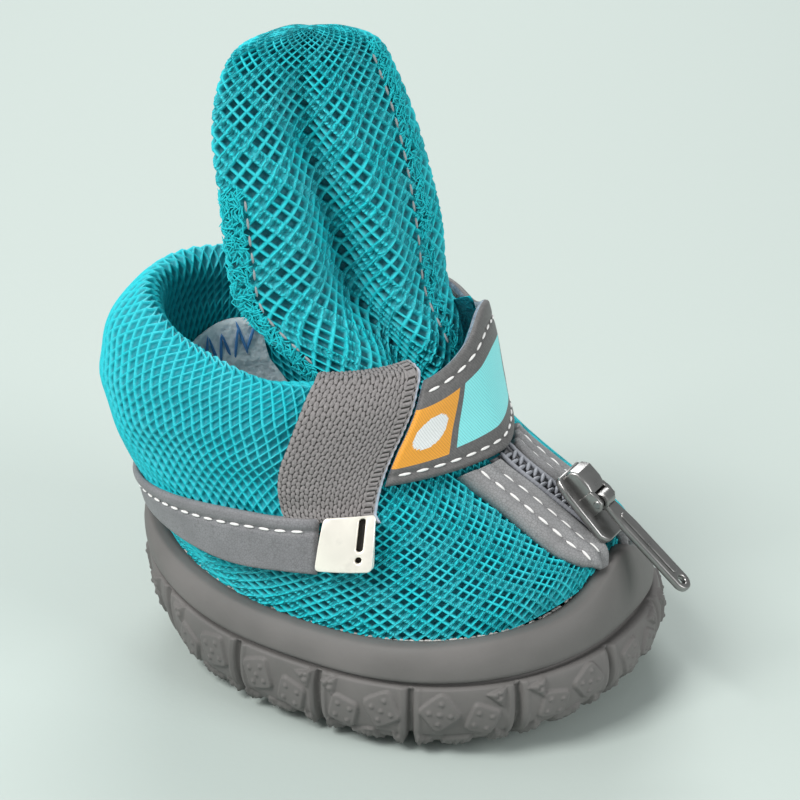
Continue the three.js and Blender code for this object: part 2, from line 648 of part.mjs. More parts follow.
const FINISH = {
  rubber: { color: 0x8a8684, roughness: 0.85, metalness: 0 },
  teal: { color: 0x1fa9b8, roughness: 0.9, metalness: 0 },
  leatherette: { color: 0x8b8d90, roughness: 0.6, metalness: 0 },
  webbing: { color: 0x8d8681, roughness: 0.9, metalness: 0 },
  reflective: { color: 0x6d6c6e, roughness: 0.5, metalness: 0 },
  coil: { color: 0xc9ccd2, roughness: 0.5, metalness: 0 },
  gunmetal: { color: 0x6f6d70, roughness: 0.35, metalness: 1 },
  nickel: { color: 0xe6dfc8, roughness: 0.3, metalness: 1 },
  felt: { color: 0xd8d8d6, roughness: 0.95, metalness: 0 },
};

const boot = new THREE.Group();

function place(name, geometry, finish, group = boot) {
  const mesh = new THREE.Mesh(geometry, new THREE.MeshStandardMaterial(finish));
  mesh.name = name;
  group.add(mesh);
}

place("sole", soleShape(), FINISH.rubber);
place("insole", insoleShape(), FINISH.felt);
place("upper", upperShape(), FINISH.teal);
place("collar", collarShape(), FINISH.teal);
place("tongue", tongueShape(), FINISH.teal);
place("facing_near", facingShape(-1), FINISH.leatherette);
place("facing_far", facingShape(1), FINISH.leatherette);
place("zip_near", zipShape(-1), FINISH.coil);
place("zip_far", zipShape(1), FINISH.coil);

const zipHead = new THREE.Group();
zipHead.position.set(SLIDER.x, SLIDER.y, SLIDER.z);
zipHead.rotation.y = SLIDER.slope;
boot.add(zipHead);
place("slider", sliderShape(), FINISH.gunmetal, zipHead);
const tabPivot = new THREE.Group();
tabPivot.position.set(PIVOT.u, 0, PIVOT.w);
tabPivot.rotation.y = -TAB.lift;
zipHead.add(tabPivot);
place("pull_tab", pullTabShape(), FINISH.gunmetal, tabPivot);

place("side_strip", sideStripShape(), FINISH.leatherette);
place("strip_tip", stripTipShape(), FINISH.nickel);
place("webbing", webbingShape(), FINISH.webbing);
place("strap", strapShape(), FINISH.reflective);

export default boot;
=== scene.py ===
"""The looks of a padded dog boot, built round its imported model.

The boot is a mesh bootee on a moulded rubber cup sole. Every soft form is worked out from one skin,
as in the part itself: rings round the foot, from the cup of the sole up to the rim of the collar.
Sizes in the tables are millimetres, and meshes are written in metres.
"""

import logging
import math
import time
from collections.abc import Callable
from dataclasses import dataclass, field
from enum import Enum

import bmesh
import bpy
import numpy as np
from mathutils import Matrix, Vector


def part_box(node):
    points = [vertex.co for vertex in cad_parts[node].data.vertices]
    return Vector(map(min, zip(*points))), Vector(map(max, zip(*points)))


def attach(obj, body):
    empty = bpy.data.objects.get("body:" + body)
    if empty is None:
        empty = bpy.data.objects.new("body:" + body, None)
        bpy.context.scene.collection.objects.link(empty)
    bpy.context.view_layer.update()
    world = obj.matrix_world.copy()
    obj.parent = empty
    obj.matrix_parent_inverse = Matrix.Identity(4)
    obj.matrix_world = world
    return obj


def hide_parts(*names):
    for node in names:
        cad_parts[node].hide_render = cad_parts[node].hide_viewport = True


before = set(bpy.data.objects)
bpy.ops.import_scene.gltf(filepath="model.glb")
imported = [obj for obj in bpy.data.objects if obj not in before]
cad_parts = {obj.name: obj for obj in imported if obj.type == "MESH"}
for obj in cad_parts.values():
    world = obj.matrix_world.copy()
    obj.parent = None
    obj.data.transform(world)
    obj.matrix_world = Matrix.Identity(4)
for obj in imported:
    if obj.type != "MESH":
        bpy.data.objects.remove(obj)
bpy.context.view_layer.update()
logging.basicConfig(level=logging.INFO, format="%(name)s: %(message)s")

MM = 0.001
Array = np.ndarray
Node, Socket, Tree = bpy.types.Node, bpy.types.NodeSocket, bpy.types.NodeTree
Place = Callable[[Array, Array, Array], Array]
log = logging.getLogger("dog_boot")


# ---- numbers


def smooth(v: Array | float) -> Array | float:
    """Returns v eased from 0 to 1, level at both ends."""
    v = np.clip(v, 0.0, 1.0)
    return v * v * (3 - 2 * v)


def mix(a: Array | float, b: Array | float, t: Array | float) -> Array | float:
    """Returns the value a share t of the way from a to b."""
    return a + (b - a) * t


def circle(count: int) -> Array:
    """Returns that many angles, evenly round a circle."""
    return np.linspace(0, 2 * math.pi, count, endpoint=False)


def unit(v: Array) -> Array:
    """Returns each vector of v at length one."""
    return v / np.maximum(np.linalg.norm(v, axis=-1, keepdims=True), 1e-12)


def speckle(seed: int, *coords: Array) -> Array:
    """A repeatable number between 0 and 1 for each set of whole numbers.

    Args:
        seed: Picks one of many patterns.
        coords: Arrays of whole numbers, one for each direction.

    Returns:
        An array of numbers that look unordered.
    """
    total = np.full(np.shape(coords[0]), seed * 12.9898)
    for k, c in enumerate(coords):
        total = total + np.asarray(c, float) * (78.233 + 37.719 * k)
    return np.mod(np.abs(np.sin(total) * 43758.5453), 1.0)


class Table:
    """Rows of sizes, read at any level between them on a smooth curve."""

    def __init__(self, names: str, rows: list[tuple[float, ...]]) -> None:
        """Keeps the rows.

        Args:
            names: The columns' names, with spaces between them.
            rows: One tuple for each row.
        """
        self.names = names.split()
        self.rows = np.array(rows, float)

    @property
    def last(self) -> int:
        """The number of the last row."""
        return len(self.rows) - 1

    def at(self, level: Array | float) -> dict[str, Array]:
        """Reads every column at a level.

        Args:
            level: Where between the rows, from 0 to the last row.

        Returns:
            The columns' values by name.
        """
        level = np.clip(np.asarray(level, float), 0, self.last)
        i = np.minimum(level.astype(int), self.last - 1)
        t = (level - i)[..., None]
        a, b, c, d = (self.rows[np.clip(i + k, 0, self.last)] for k in (-1, 0, 1, 2))
        bend = (2 * a - 5 * b + 4 * c - d) * t**2 + (3 * b - a - 3 * c + d) * t**3
        curve = 0.5 * (2 * b + (c - a) * t + bend)
        return {name: curve[..., k] for k, name in enumerate(self.names)}


def egg_radius(angle: Array, ahead: Array, behind: Array, half: Array, square: Array) -> Array:
    """The radius of an egg-shaped outline.

    Args:
        angle: Round the outline from the toe, radians.
        ahead: Its reach to the front.
        behind: Its reach to the rear.
        half: Its reach to each side.
        square: How square it is; 2 is an ellipse.

    Returns:
        The radius at each angle.
    """
    along = np.abs(np.cos(angle)) / np.where(np.cos(angle) > 0, ahead, behind)
    across = np.abs(np.sin(angle)) / half
    return (along**square + across**square) ** (-1 / square)


# ---- forms


def normals_of(place: Place, u: Array, v: Array, du: float, dv: float) -> Array:
    """The unit normals of a surface given by a function of two numbers.

    Args:
        place: The surface; its third argument is how far off it a point lies.
        u: First coordinates.
        v: Second coordinates.
        du: A small step in u.
        dv: A small step in v.

    Returns:
        A normal for each point.
    """
    flat = np.zeros_like(u)
    along = place(u + du, v, flat) - place(u - du, v, flat)
    up = place(u, v + dv, flat) - place(u, v - dv, flat)
    return unit(np.cross(along, up))


@dataclass
class Skin:
    """The outer face of the foot and ankle, by angle from the toe and level."""

    heel_square: float = 2.2
    rows: Table = field(
        default_factory=lambda: Table(
            "ahead behind half nose left aside front_z side_z rear_z bend peak",
            [
                (33.2, -34.0, 24.6, 2.2, 2.2, 0.0, 10.5, 7.4, 11.4, 3, 0.0),
                (36.6, -37.2, 26.9, 2.2, 2.2, 0.0, 23.8, 15.6, 20.0, 3, 0.0),
                (33.4, -38.4, 27.6, 1.95, 1.75, -0.2, 27.0, 23.2, 22.4, 3, 0.0),
                (26.4, -39.8, 27.6, 1.75, 1.42, -0.8, 31.2, 30.4, 25.2, 3, 0.0),
                (19.6, -44.2, 27.4, 1.65, 1.38, -1.8, 36.2, 35.4, 31.4, 3, 0.0),
                (16.8, -46.8, 27.4, 1.6, 1.48, -3.0, 43.0, 40.6, 40.0, 5, 0.1),
                (15.0, -45.0, 25.6, 1.65, 1.57, -3.6, 50.2, 46.0, 48.4, 8, 0.25),
                (13.2, -40.4, 22.2, 1.7, 1.67, -4.0, 56.4, 49.4, 54.2, 10, 0.35),
            ],
        )
    )

    def base(self, angle: Array, level: Array) -> Array:
        """Points of the skin.

        Args:
            angle: Round the foot from the toe, radians.
            level: Up the foot, in rows of the table.

        Returns:
            Points in millimetres.
        """
        angle, level = np.broadcast_arrays(np.asarray(angle, float), np.asarray(level, float))
        row = self.rows.at(level)
        centre = mix(6.0, -8.0, smooth(level / 5))
        nose = np.where(np.sin(angle) > 0, row["left"], row["nose"])
        square = np.where(np.cos(angle) > 0, nose, self.heel_square)
        r = egg_radius(angle, row["ahead"] - centre, centre - row["behind"], row["half"], square)
        front = np.maximum(np.cos(angle), 0)
        rear = np.minimum(np.cos(angle), 0)
        lift = np.maximum(np.cos(angle - row["peak"]), 0) ** row["bend"]
        rise = (row["front_z"] - row["side_z"]) * lift + (row["rear_z"] - row["side_z"]) * rear**2
        x = centre + r * np.cos(angle)
        y = r * np.sin(angle) + row["aside"] * front**2
        return np.stack([x, y, row["side_z"] + rise], axis=-1)

    def point(self, angle: Array, level: Array, out: Array | float = 0.0) -> Array:
        """Points of the skin moved off it along its own normal.

        Args:
            angle: Round the foot from the toe, radians.
            level: Up the foot, in rows of the table.
            out: How far off the skin; inwards where negative.

        Returns:
            Points in millimetres.
        """
        angle, level = np.broadcast_arrays(np.asarray(angle, float), np.asarray(level, float))
        step = 0.01
        level = np.clip(level, 0, self.rows.last)
        low = np.maximum(level - step, 0)
        high = np.minimum(level + step, self.rows.last)
        round_ = self.base(angle + step, level) - self.base(angle - step, level)
        up = self.base(angle, high) - self.base(angle, low)
        normal = unit(np.cross(round_, up))
        return self.base(angle, level) + normal * np.asarray(out, float)[..., None]

    def across(self, level: Array, from_zip: Array, out: Array | float = 0.0) -> Array:
        """Points at a given distance across from the zip's line.

        Args:
            level: Up the foot, in rows of the table.
            from_zip: Distance to the boot's left.
            out: How far off the skin.

        Returns:
            Points in millimetres.
        """
        level, from_zip = np.broadcast_arrays(np.asarray(level, float), np.asarray(from_zip, float))
        y = self.base(np.zeros_like(level), level)[..., 1] + from_zip
        low = np.full_like(level, -math.pi / 2)
        high = np.full_like(level, math.pi / 2)
        for _ in range(26):
            middle = (low + high) / 2
            short = self.point(middle, level, out)[..., 1] < y
            low = np.where(short, middle, low)
            high = np.where(short, high, middle)
        return self.point((low + high) / 2, level, out)


class Body(Enum):
    """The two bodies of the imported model."""

    BOOT = "boot"
    TAB = "tab"


def finished(obj: bpy.types.Object, body: Body, replaced: tuple[str, ...]) -> None:
    """Hands a piece over to the frame.

    Args:
        obj: The piece.
        body: What it rides on.
        replaced: The plain nodes it stands for.
    """
    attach(obj, body.value)
    if replaced:
        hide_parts(*replaced)
    log.info("%s: %d faces, rides on %s", obj.name, len(obj.data.polygons), body.value)


class Surface:
    """Points and faces gathered into one mesh, with numbers and coordinates kept on the points."""

    def __init__(self) -> None:
        """Starts with nothing in it."""
        self.points: list[Array] = []
        self.faces: list[list[int]] = []
        self.slots: list[Array] = []
        self.values: dict[str, list[Array]] = {}
        self.maps: list[Array] = []
        self.count = 0

    def add(
        self,
        points: Array,
        faces: Array | list[list[int]],
        uv: Array | None = None,
        slot: int = 0,
        **values: Array | float,
    ) -> int:
        """Adds points and faces.

        Args:
            points: Points in millimetres, one to a row.
            faces: Rows of point numbers, counted from these points' first.
            uv: Two coordinates for each point, kept in metres' worth of millimetres.
            slot: The material's number.
            values: A number or an array of numbers for each point, by name.

        Returns:
            The number of the first point added.
        """
        start = self.count
        n = len(points)
        self.points.append(np.asarray(points, float).reshape(-1, 3))
        rows = np.asarray(faces)
        self.faces.extend((rows + start).tolist())
        self.slots.append(np.full(len(rows), slot))
        self.maps.append(np.zeros((n, 2)) if uv is None else np.asarray(uv, float))
        for name in set(values) | set(self.values):
            kept = self.values.setdefault(name, [np.zeros(start)] if start else [])
            kept.append(np.broadcast_to(np.asarray(values.get(name, 0.0), float), (n,)))
        self.count += n
        return start

    def mixed(self, points: Array, faces: list[list[int]], slot: int = 0) -> None:
        """Adds faces of any number of sides.

        Args:
            points: Points, millimetres.
            faces: The faces' corners, counted from 0.
            slot: The material's number.
        """
        start = self.add(points, np.zeros((0, 4), int))
        self.faces.extend([[k + start for k in face] for face in faces])
        self.slots.append(np.full(len(faces), slot))

    def grid(self, points: Array, closed_u: bool = False, closed_v: bool = False, **more: object) -> int:
        """Adds a sheet of four-sided faces.

        Args:
            points: An array of rows and columns of points.
            closed_u: Whether the last row joins the first.
            closed_v: Whether the last column joins the first.
            more: What add() takes.

        Returns:
            The number of the first point added.
        """
        nu, nv = points.shape[:2]
        i, j = np.meshgrid(
            np.arange(nu if closed_u else nu - 1), np.arange(nv if closed_v else nv - 1), indexing="ij"
        )
        i2, j2 = (i + 1) % nu, (j + 1) % nv
        quads = np.stack([i * nv + j, i2 * nv + j, i2 * nv + j2, i * nv + j2], axis=-1).reshape(-1, 4)
        flat = {k: (np.asarray(v).reshape(nu * nv, -1) if k == "uv" else v) for k, v in more.items()}
        flat = {k: (np.ravel(v) if isinstance(v, np.ndarray) and k != "uv" else v) for k, v in flat.items()}
        return self.add(points.reshape(-1, 3), quads, **flat)

    def make(
        self, name: str, finishes: list[bpy.types.Material], merge: float = 0.0, outward: bool = False
    ) -> bpy.types.Object:
        """Builds the object.

        Args:
            name: The piece's name.
            finishes: Its materials, in order of slot.
            merge: Points closer than this become one, millimetres.
            outward: Whether to turn every face outwards afterwards.

        Returns:
            The object, at the origin, in the scene.
        """
        mesh = bpy.data.meshes.new(name)
        points = np.concatenate(self.points) * MM
        mesh.from_pydata(points.tolist(), [], self.faces)
        uv = np.concatenate(self.maps)
        layer = mesh.uv_layers.new(name="cloth")
        corner = np.empty(len(mesh.loops), dtype=np.int32)
        mesh.loops.foreach_get("vertex_index", corner)
        layer.data.foreach_set("uv", uv[corner].ravel())
        for key, parts in self.values.items():
            at = mesh.attributes.new(key, "FLOAT", "POINT")
            at.data.foreach_set("value", np.concatenate(parts))
        for material in finishes:
            mesh.materials.append(material)
        mesh.polygons.foreach_set("material_index", np.concatenate(self.slots).astype(np.int32))
        mesh.polygons.foreach_set("use_smooth", np.ones(len(mesh.polygons), dtype=bool))
        mesh.validate()
        obj = bpy.data.objects.new(name, mesh)
        bpy.context.scene.collection.objects.link(obj)
        if merge or outward:
            bm = bmesh.new()
            bm.from_mesh(mesh)
            if merge:
                bmesh.ops.remove_doubles(bm, verts=bm.verts, dist=merge * MM)
            if outward:
                bmesh.ops.recalc_face_normals(bm, faces=bm.faces)
            bm.to_mesh(mesh)
            bm.free()
        return obj


# ---- net


class Weave(Enum):
    """The two knits of the boot."""

    DIAMOND = "one open diamond beside another"
    CLUSTER = "open diamonds in threes, with ribs between"


@dataclass(frozen=True)
class Net:
    """A knit of open cells over a sheet: raised yarn round each hole, and a floor below."""

    weave: Weave
    across: int
    along: int
    ridge: float = 0.16
    depth: float = 0.62
    rim: float = 0.74
    floor: float = 0.5
    closed: bool = False

    def cells(self) -> tuple[Array, Array, Array]:
        """The cells' middles, corners and kinds.

        Returns:
            Middles (n, 2), eight points round each (n, 8, 2), and 1 for a rib or 0 for a hole (n).
        """
        a, b = np.meshgrid(np.arange(2 * self.across), np.arange(2 * self.along + 1), indexing="ij")
        keep = (a + b) % 2 == 0
        if not self.closed:
            keep &= a > 0
        middle = np.stack([a[keep], b[keep]], axis=-1).astype(float)
        ring = [(-1, 0), (-0.5, -0.5), (0, -1), (0.5, -0.5), (1, 0), (0.5, 0.5), (0, 1), (-0.5, 0.5)]
        rib = np.zeros(len(middle))
        if self.weave is Weave.CLUSTER:
            rise, fall = (a[keep] + b[keep]) // 2, (b[keep] - a[keep]) // 2
            rib = ((rise % 4 == 3) | (fall % 4 == 3)).astype(float)
        corners = middle[:, None, :] + np.array(ring, float)
        corners[..., 1] = np.clip(corners[..., 1], 0, 2 * self.along)
        if not self.closed:
            corners[..., 0] = np.clip(corners[..., 0], 0, 2 * self.across)
        return corners.mean(axis=1), corners, rib

    def lay(
        self, surface: Surface, place: Place, keep: Callable[[Array, Array], Array] | None = None, slot: int = 0
    ) -> None:
        """Lays the net over a sheet.

        Args:
            surface: Where its points and faces go.
            place: The sheet: from two shares between 0 and 1, and a distance off it, to points.
            keep: Says which cells stay, from the shares of their middles.
            slot: The material's number.
        """
        middle, corners, rib = self.cells()
        size = np.array([2.0 * self.across, 2.0 * self.along])
        if keep is not None:
            chosen = keep(middle[:, 0] / size[0], middle[:, 1] / size[1])
            middle, corners, rib = middle[chosen], corners[chosen], rib[chosen]
        n = len(middle)
        key = np.round(corners * 2).astype(int)
        if self.closed:
            key[..., 0] %= 4 * self.across
        _, first, shared = np.unique(
            key[..., 0] * 100003 + key[..., 1], return_index=True, return_inverse=True
        )
        shared = shared.reshape(n, 8)
        edge = corners.reshape(-1, 2)[first]
        sag = mix(0.82, 1.0, speckle(3, middle[:, 0], middle[:, 1]))[:, None]
        open_ = (1 - rib)[:, None]
        inner = middle[:, None, :] + (corners - middle[:, None, :]) * self.rim
        floor = middle[:, None, :] + (corners - middle[:, None, :]) * self.floor
        # Each part's last number is its pit: 0 on the ridge, up to 1 on the floor; the knit finish darkens by
        # it, as painted shade in the holes.
        parts = [
            (edge, self.ridge * np.ones(len(edge)), np.zeros(len(edge))),
            (inner, np.broadcast_to(-0.10 * open_ + 0.02 * rib[:, None], (n, 8)), 0.26 * open_ + 0.12),
            (floor, np.broadcast_to(-self.depth * sag * open_ - 0.26 * rib[:, None], (n, 8)),
             mix(0.5, 1.0, open_)),
            (middle, (-self.depth * sag * open_)[:, 0] - 0.4 * rib, mix(0.72, 1.0, open_[:, 0])),
        ]
        points, pits, maps = [], [], []
        for at, out, pit in parts:
            flat = at.reshape(-1, 2)
            out = np.ravel(out)
            points.append(place(flat[:, 0] / size[0], flat[:, 1] / size[1], out))
            pits.append(np.ravel(np.broadcast_to(pit, at.shape[:-1])))
            maps.append(flat)
        edge_rib = np.zeros(len(edge))
        np.maximum.at(edge_rib, shared, np.broadcast_to(rib[:, None], (n, 8)))
        ribs = [edge_rib, np.repeat(rib, 8), np.repeat(rib, 8), rib]
        e = len(edge)
        ring1 = e + np.arange(8 * n).reshape(n, 8)
        ring2 = ring1 + 8 * n
        hub = (e + 16 * n + np.arange(n))[:, None]
        turn = lambda r: np.roll(r, -1, axis=1)
        quads = [
            np.stack([a, turn(a), turn(b), b], axis=-1).reshape(-1, 4)
            for a, b in ((shared, ring1), (ring1, ring2))
        ]
        fan = np.stack([ring2, turn(ring2), np.broadcast_to(hub, (n, 8))], axis=-1).reshape(-1, 3)
        faces = np.concatenate(quads).tolist() + fan.tolist()
        start = surface.count
        surface.add(
            np.concatenate(points),
            np.zeros((0, 4), int),
            uv=np.concatenate(maps),
            pit=np.concatenate(pits),
            rib=np.concatenate(ribs),
        )
        surface.faces.extend([[k + start for k in face] for face in faces])
        surface.slots.append(np.full(len(faces), slot))


# ---- finishes


class Nodes:
    """A shader or geometry tree being put together."""

    def __init__(self, tree: Tree) -> None:
        """Keeps the tree."""
        self.tree = tree

    def add(self, kind: str, inputs: dict[str | int, object] | None = None, **settings: object) -> Node:
        """Adds a node.

        Args:
            kind: The node's type.
            inputs: Values or sockets for its inputs, by name or number.
            settings: Properties of the node.

        Returns:
            The node.
        """
        node = self.tree.nodes.new(kind)
        for key, value in settings.items():
            setattr(node, key, value)
        for key, value in (inputs or {}).items():
            if isinstance(value, Socket):
                self.tree.links.new(value, node.inputs[key])
            else:
                node.inputs[key].default_value = value
        return node

    def sum(self, operation: str, *values: object, clamp: bool = False) -> Socket:
        """Adds a Math node and returns its result."""
        node = self.add("ShaderNodeMath", dict(enumerate(values)), operation=operation, use_clamp=clamp)
        return node.outputs[0]

    def blend(self, share: object, a: object, b: object) -> Socket:
        """Adds a colour mix and returns its result."""
        node = self.add("ShaderNodeMix", {0: share, 6: a, 7: b}, data_type="RGBA")
        return node.outputs[2]

    def own(self, name: str) -> Socket:
        """Returns the piece's own attribute of that name."""
        return self.add("ShaderNodeAttribute", attribute_name=name).outputs["Fac"]

    def noise(self, scale: float, detail: float = 3.0, vector: object = None) -> Socket:
        """Adds a noise texture on the object's own coordinates and returns its value."""
        if vector is None:
            vector = self.add("ShaderNodeTexCoord").outputs["Object"]
        return self.add("ShaderNodeTexNoise", {"Vector": vector, "Scale": scale, "Detail": detail}).outputs[0]

    def spread(self, value: object, low: float, high: float) -> Socket:
        """Adds a Map Range from low..high to 0..1 and returns its result."""
        return self.add("ShaderNodeMapRange", {0: value, 1: low, 2: high, 3: 0.0, 4: 1.0}).outputs[0]


Colour = tuple[float, float, float, float]


def tint(red: float, green: float, blue: float) -> Colour:
    """Returns a colour from three shares of light."""
    return (red, green, blue, 1.0)


def wear_group() -> Tree:
    """A shared effect: soft patches and fine specks on a surface.

    Returns:
        A group with a Patches mask, a Specks mask and a Height.
    """
    kept = bpy.data.node_groups.get("Wear")
    if kept:
        return kept
    tree = bpy.data.node_groups.new("Wear", "ShaderNodeTree")
    for name, default in (("Patch Scale", 90.0), ("Speck Scale", 1500.0)):
        tree.interface.new_socket(name, in_out="INPUT", socket_type="NodeSocketFloat").default_value = default
    for name in ("Patches", "Specks", "Height"):
        tree.interface.new_socket(name, in_out="OUTPUT", socket_type="NodeSocketFloat")
    n = Nodes(tree)
    given = n.add("NodeGroupInput")
    result = n.add("NodeGroupOutput")
    here = n.add("ShaderNodeTexCoord").outputs["Object"]
    patch = n.add("ShaderNodeTexNoise", {"Vector": here, "Scale": given.outputs[0], "Detail": 5.0})
    speck = n.add("ShaderNodeTexNoise", {"Vector": here, "Scale": given.outputs[1], "Detail": 2.0})
    patches = n.spread(patch.outputs[0], 0.42, 0.68)
    specks = n.spread(speck.outputs[0], 0.6, 0.72)
    height = n.sum("ADD", n.sum("MULTIPLY", patch.outputs[0], 0.4), n.sum("MULTIPLY", speck.outputs[0], 0.6))
    tree.links.new(patches, result.inputs[0])
    tree.links.new(specks, result.inputs[1])
    tree.links.new(height, result.inputs[2])
    return tree


def stroke_group() -> Tree:
    """A shared effect: short slanting strokes of yarn over a knit's ribs.

    Returns:
        A group with a Strokes mask, 1 along the middle of each stroke.
    """
    kept = bpy.data.node_groups.get("Strokes")
    if kept:
        return kept
    tree = bpy.data.node_groups.new("Strokes", "ShaderNodeTree")
    for name, default in (("Pitch", 0.62), ("Slant", 0.75)):
        tree.interface.new_socket(name, in_out="INPUT", socket_type="NodeSocketFloat").default_value = default
    tree.interface.new_socket("Strokes", in_out="OUTPUT", socket_type="NodeSocketFloat")
    n = Nodes(tree)
    given = n.add("NodeGroupInput")
    result = n.add("NodeGroupOutput")
    cloth = n.add("ShaderNodeUVMap", uv_map="cloth")
    split = n.add("ShaderNodeSeparateXYZ", {0: cloth.outputs[0]})
    sway = n.add("ShaderNodeTexNoise", {"Vector": cloth.outputs[0], "Scale": 0.9, "Detail": 2.0}).outputs[0]
    lean = n.sum("MULTIPLY", split.outputs[1], given.outputs[1])
    along = n.sum("ADD", n.sum("SUBTRACT", split.outputs[0], lean), n.sum("MULTIPLY", sway, 1.2))
    phase = n.sum("MULTIPLY", n.sum("DIVIDE", along, given.outputs[0]), 2 * math.pi)
    wave = n.sum("MULTIPLY_ADD", n.sum("SINE", phase), 0.5, 0.5)
    tree.links.new(wave, result.inputs[0])
    return tree


@dataclass(frozen=True)
class Finish:
    """One finish: its name, main colour and how it takes the light."""

    name: str
    colour: Colour
    rough: float = 0.7
    metal: float = 0.0
    sheen: float = 0.0
    gloss: float = 0.35

    def dress(self, n: Nodes, shader: Node) -> None:
        """Sets the colour and surface. Finishes with more to show replace this.

        Args:
            n: The tree.
            shader: Its shader.
        """
        height = n.noise(900.0, 3.0)
        self.bump(n, shader, height, 0.00005, 0.4)

    def bump(
        self, n: Nodes, shader: Node, height: object, deep: float, strength: float
    ) -> None:
        """Adds a bump to the shader.

        Args:
            n: The tree.
            shader: Its shader.
            height: The socket that gives the height.
            deep: How deep it is, metres.
            strength: From 0 to 1.
        """
        bump = n.add("ShaderNodeBump", {"Height": height, "Distance": deep, "Strength": strength})
        n.tree.links.new(bump.outputs[0], shader.inputs["Normal"])

    def material(self) -> bpy.types.Material:
        """Makes the finish as a material, once.

        Returns:
            The material.
        """
        name = self.name + "_finish"
        kept = bpy.data.materials.get(name)
        if kept:
            return kept
        made = bpy.data.materials.new(name)
        made.use_nodes = True
        made.diffuse_color = self.colour
        shader = made.node_tree.nodes["Principled BSDF"]
        shader.inputs["Base Color"].default_value = self.colour
        shader.inputs["Roughness"].default_value = self.rough
        shader.inputs["Metallic"].default_value = self.metal
        shader.inputs["Sheen Weight"].default_value = self.sheen
        shader.inputs["Sheen Roughness"].default_value = 0.5
        shader.inputs["Specular IOR Level"].default_value = self.gloss
        self.dress(Nodes(made.node_tree), shader)
        return made


@dataclass(frozen=True)
class KnitFinish(Finish):
    """Warp-knit mesh: bright yarn round the holes, a floor darkened with painted shade, and slanting strokes on
    the ribs with painted shade between them.
    """

    # floor is painted shade in the bottom of the holes; groove is painted shade between the strokes on the
    # ribs, and also the dark of the fibre specks.
    floor: Colour = (0.0, 0.05, 0.07, 1.0)
    groove: Colour = (0.0, 0.12, 0.16, 1.0)

    def dress(self, n: Nodes, shader: Node) -> None:
        """Colours the yarn, and paints shade on the floor of the holes and between the ribs' strokes.

        Args:
            n: The tree.
            shader: Its shader.
        """
        pit = n.own("pit")
        rib = n.own("rib")
        strokes = n.add("ShaderNodeGroup", node_tree=stroke_group())
        wave = strokes.outputs[0]
        deep = n.spread(pit, 0.12, 0.8)
        # Painted shade between the ribs' strokes, where their bump is low.
        dark = n.blend(n.sum("MULTIPLY", rib, n.spread(wave, 0.75, 0.2)), self.colour, self.groove)
        fade = n.noise(160.0, 3.0)
        pale = n.blend(n.sum("MULTIPLY", n.spread(fade, 0.35, 0.7), 0.35), dark, tint(0.09, 0.62, 0.7))
        fibre = n.noise(4200.0, 2.0)
        # Painted shade: the deeper into a hole (pit), the nearer the colour comes to the dark floor.
        colour = n.blend(deep, pale, self.floor)
        lit = n.blend(n.sum("MULTIPLY", n.spread(fibre, 0.45, 0.7), 0.25), colour, self.groove)
        n.tree.links.new(lit, shader.inputs["Base Color"])
        height = n.sum("ADD", n.sum("MULTIPLY", wave, rib), n.sum("MULTIPLY", fibre, 0.35))
        self.bump(n, shader, height, 0.00022, 0.9)


@dataclass(frozen=True)
class RubberFinish(Finish):
    """Matt moulded rubber with pale dust in its hollows and rubbed patches on its edges."""

    dust: Colour = (0.24, 0.225, 0.22, 1.0)

    def dress(self, n: Nodes, shader: Node) -> None:
        """Adds dust, scuffs and a fine moulded texture.

        Args:
            n: The tree.
            shader: Its shader.
        """
        wear = n.add("ShaderNodeGroup", {0: 70.0, 1: 1400.0}, node_tree=wear_group())
        low = n.own("dusty")
        share = n.sum("MULTIPLY", wear.outputs["Patches"], 0.3)
        settled = n.sum("MULTIPLY", low, n.sum("MULTIPLY_ADD", wear.outputs["Specks"], 0.6, 0.25))
        total = n.sum("ADD", share, settled, clamp=True)
        n.tree.links.new(n.blend(total, self.colour, self.dust), shader.inputs["Base Color"])
        rough = n.sum("MULTIPLY_ADD", wear.outputs["Patches"], 0.16, self.rough)
        n.tree.links.new(rough, shader.inputs["Roughness"])
        self.bump(n, shader, wear.outputs["Height"], 0.00012, 0.35)


@dataclass(frozen=True)
class HideFinish(Finish):
    """Fine-grained leatherette: tiny cells with painted shade in the creases between, and a painted soft shine
    on the high parts.
    """

    def dress(self, n: Nodes, shader: Node) -> None:
        """Adds the grain, with painted shade in its creases and a painted shine on its high parts.

        Args:
            n: The tree.
            shader: Its shader.
        """
        here = n.add("ShaderNodeTexCoord").outputs["Object"]
        cells = n.add("ShaderNodeTexVoronoi", {"Vector": here, "Scale": 2300.0}, feature="DISTANCE_TO_EDGE")
        crease = n.spread(cells.outputs["Distance"], 0.0, 0.12)
        cloud = n.noise(240.0, 4.0)
        # Painted shine: the colour is lifted where the cloud, and so the bump, is high.
        dull = n.blend(n.spread(cloud, 0.35, 0.7), self.colour, tint(*(c * 1.25 for c in self.colour[:3])))
        # Painted shade: the creases between the grain's cells are darkened.
        dark = n.blend(n.sum("SUBTRACT", 1.0, crease), dull, tint(*(c * 0.78 for c in self.colour[:3])))
        n.tree.links.new(dark, shader.inputs["Base Color"])
        self.bump(n, shader, n.sum("MULTIPLY_ADD", cloud, 0.8, crease), 0.00008, 0.35)


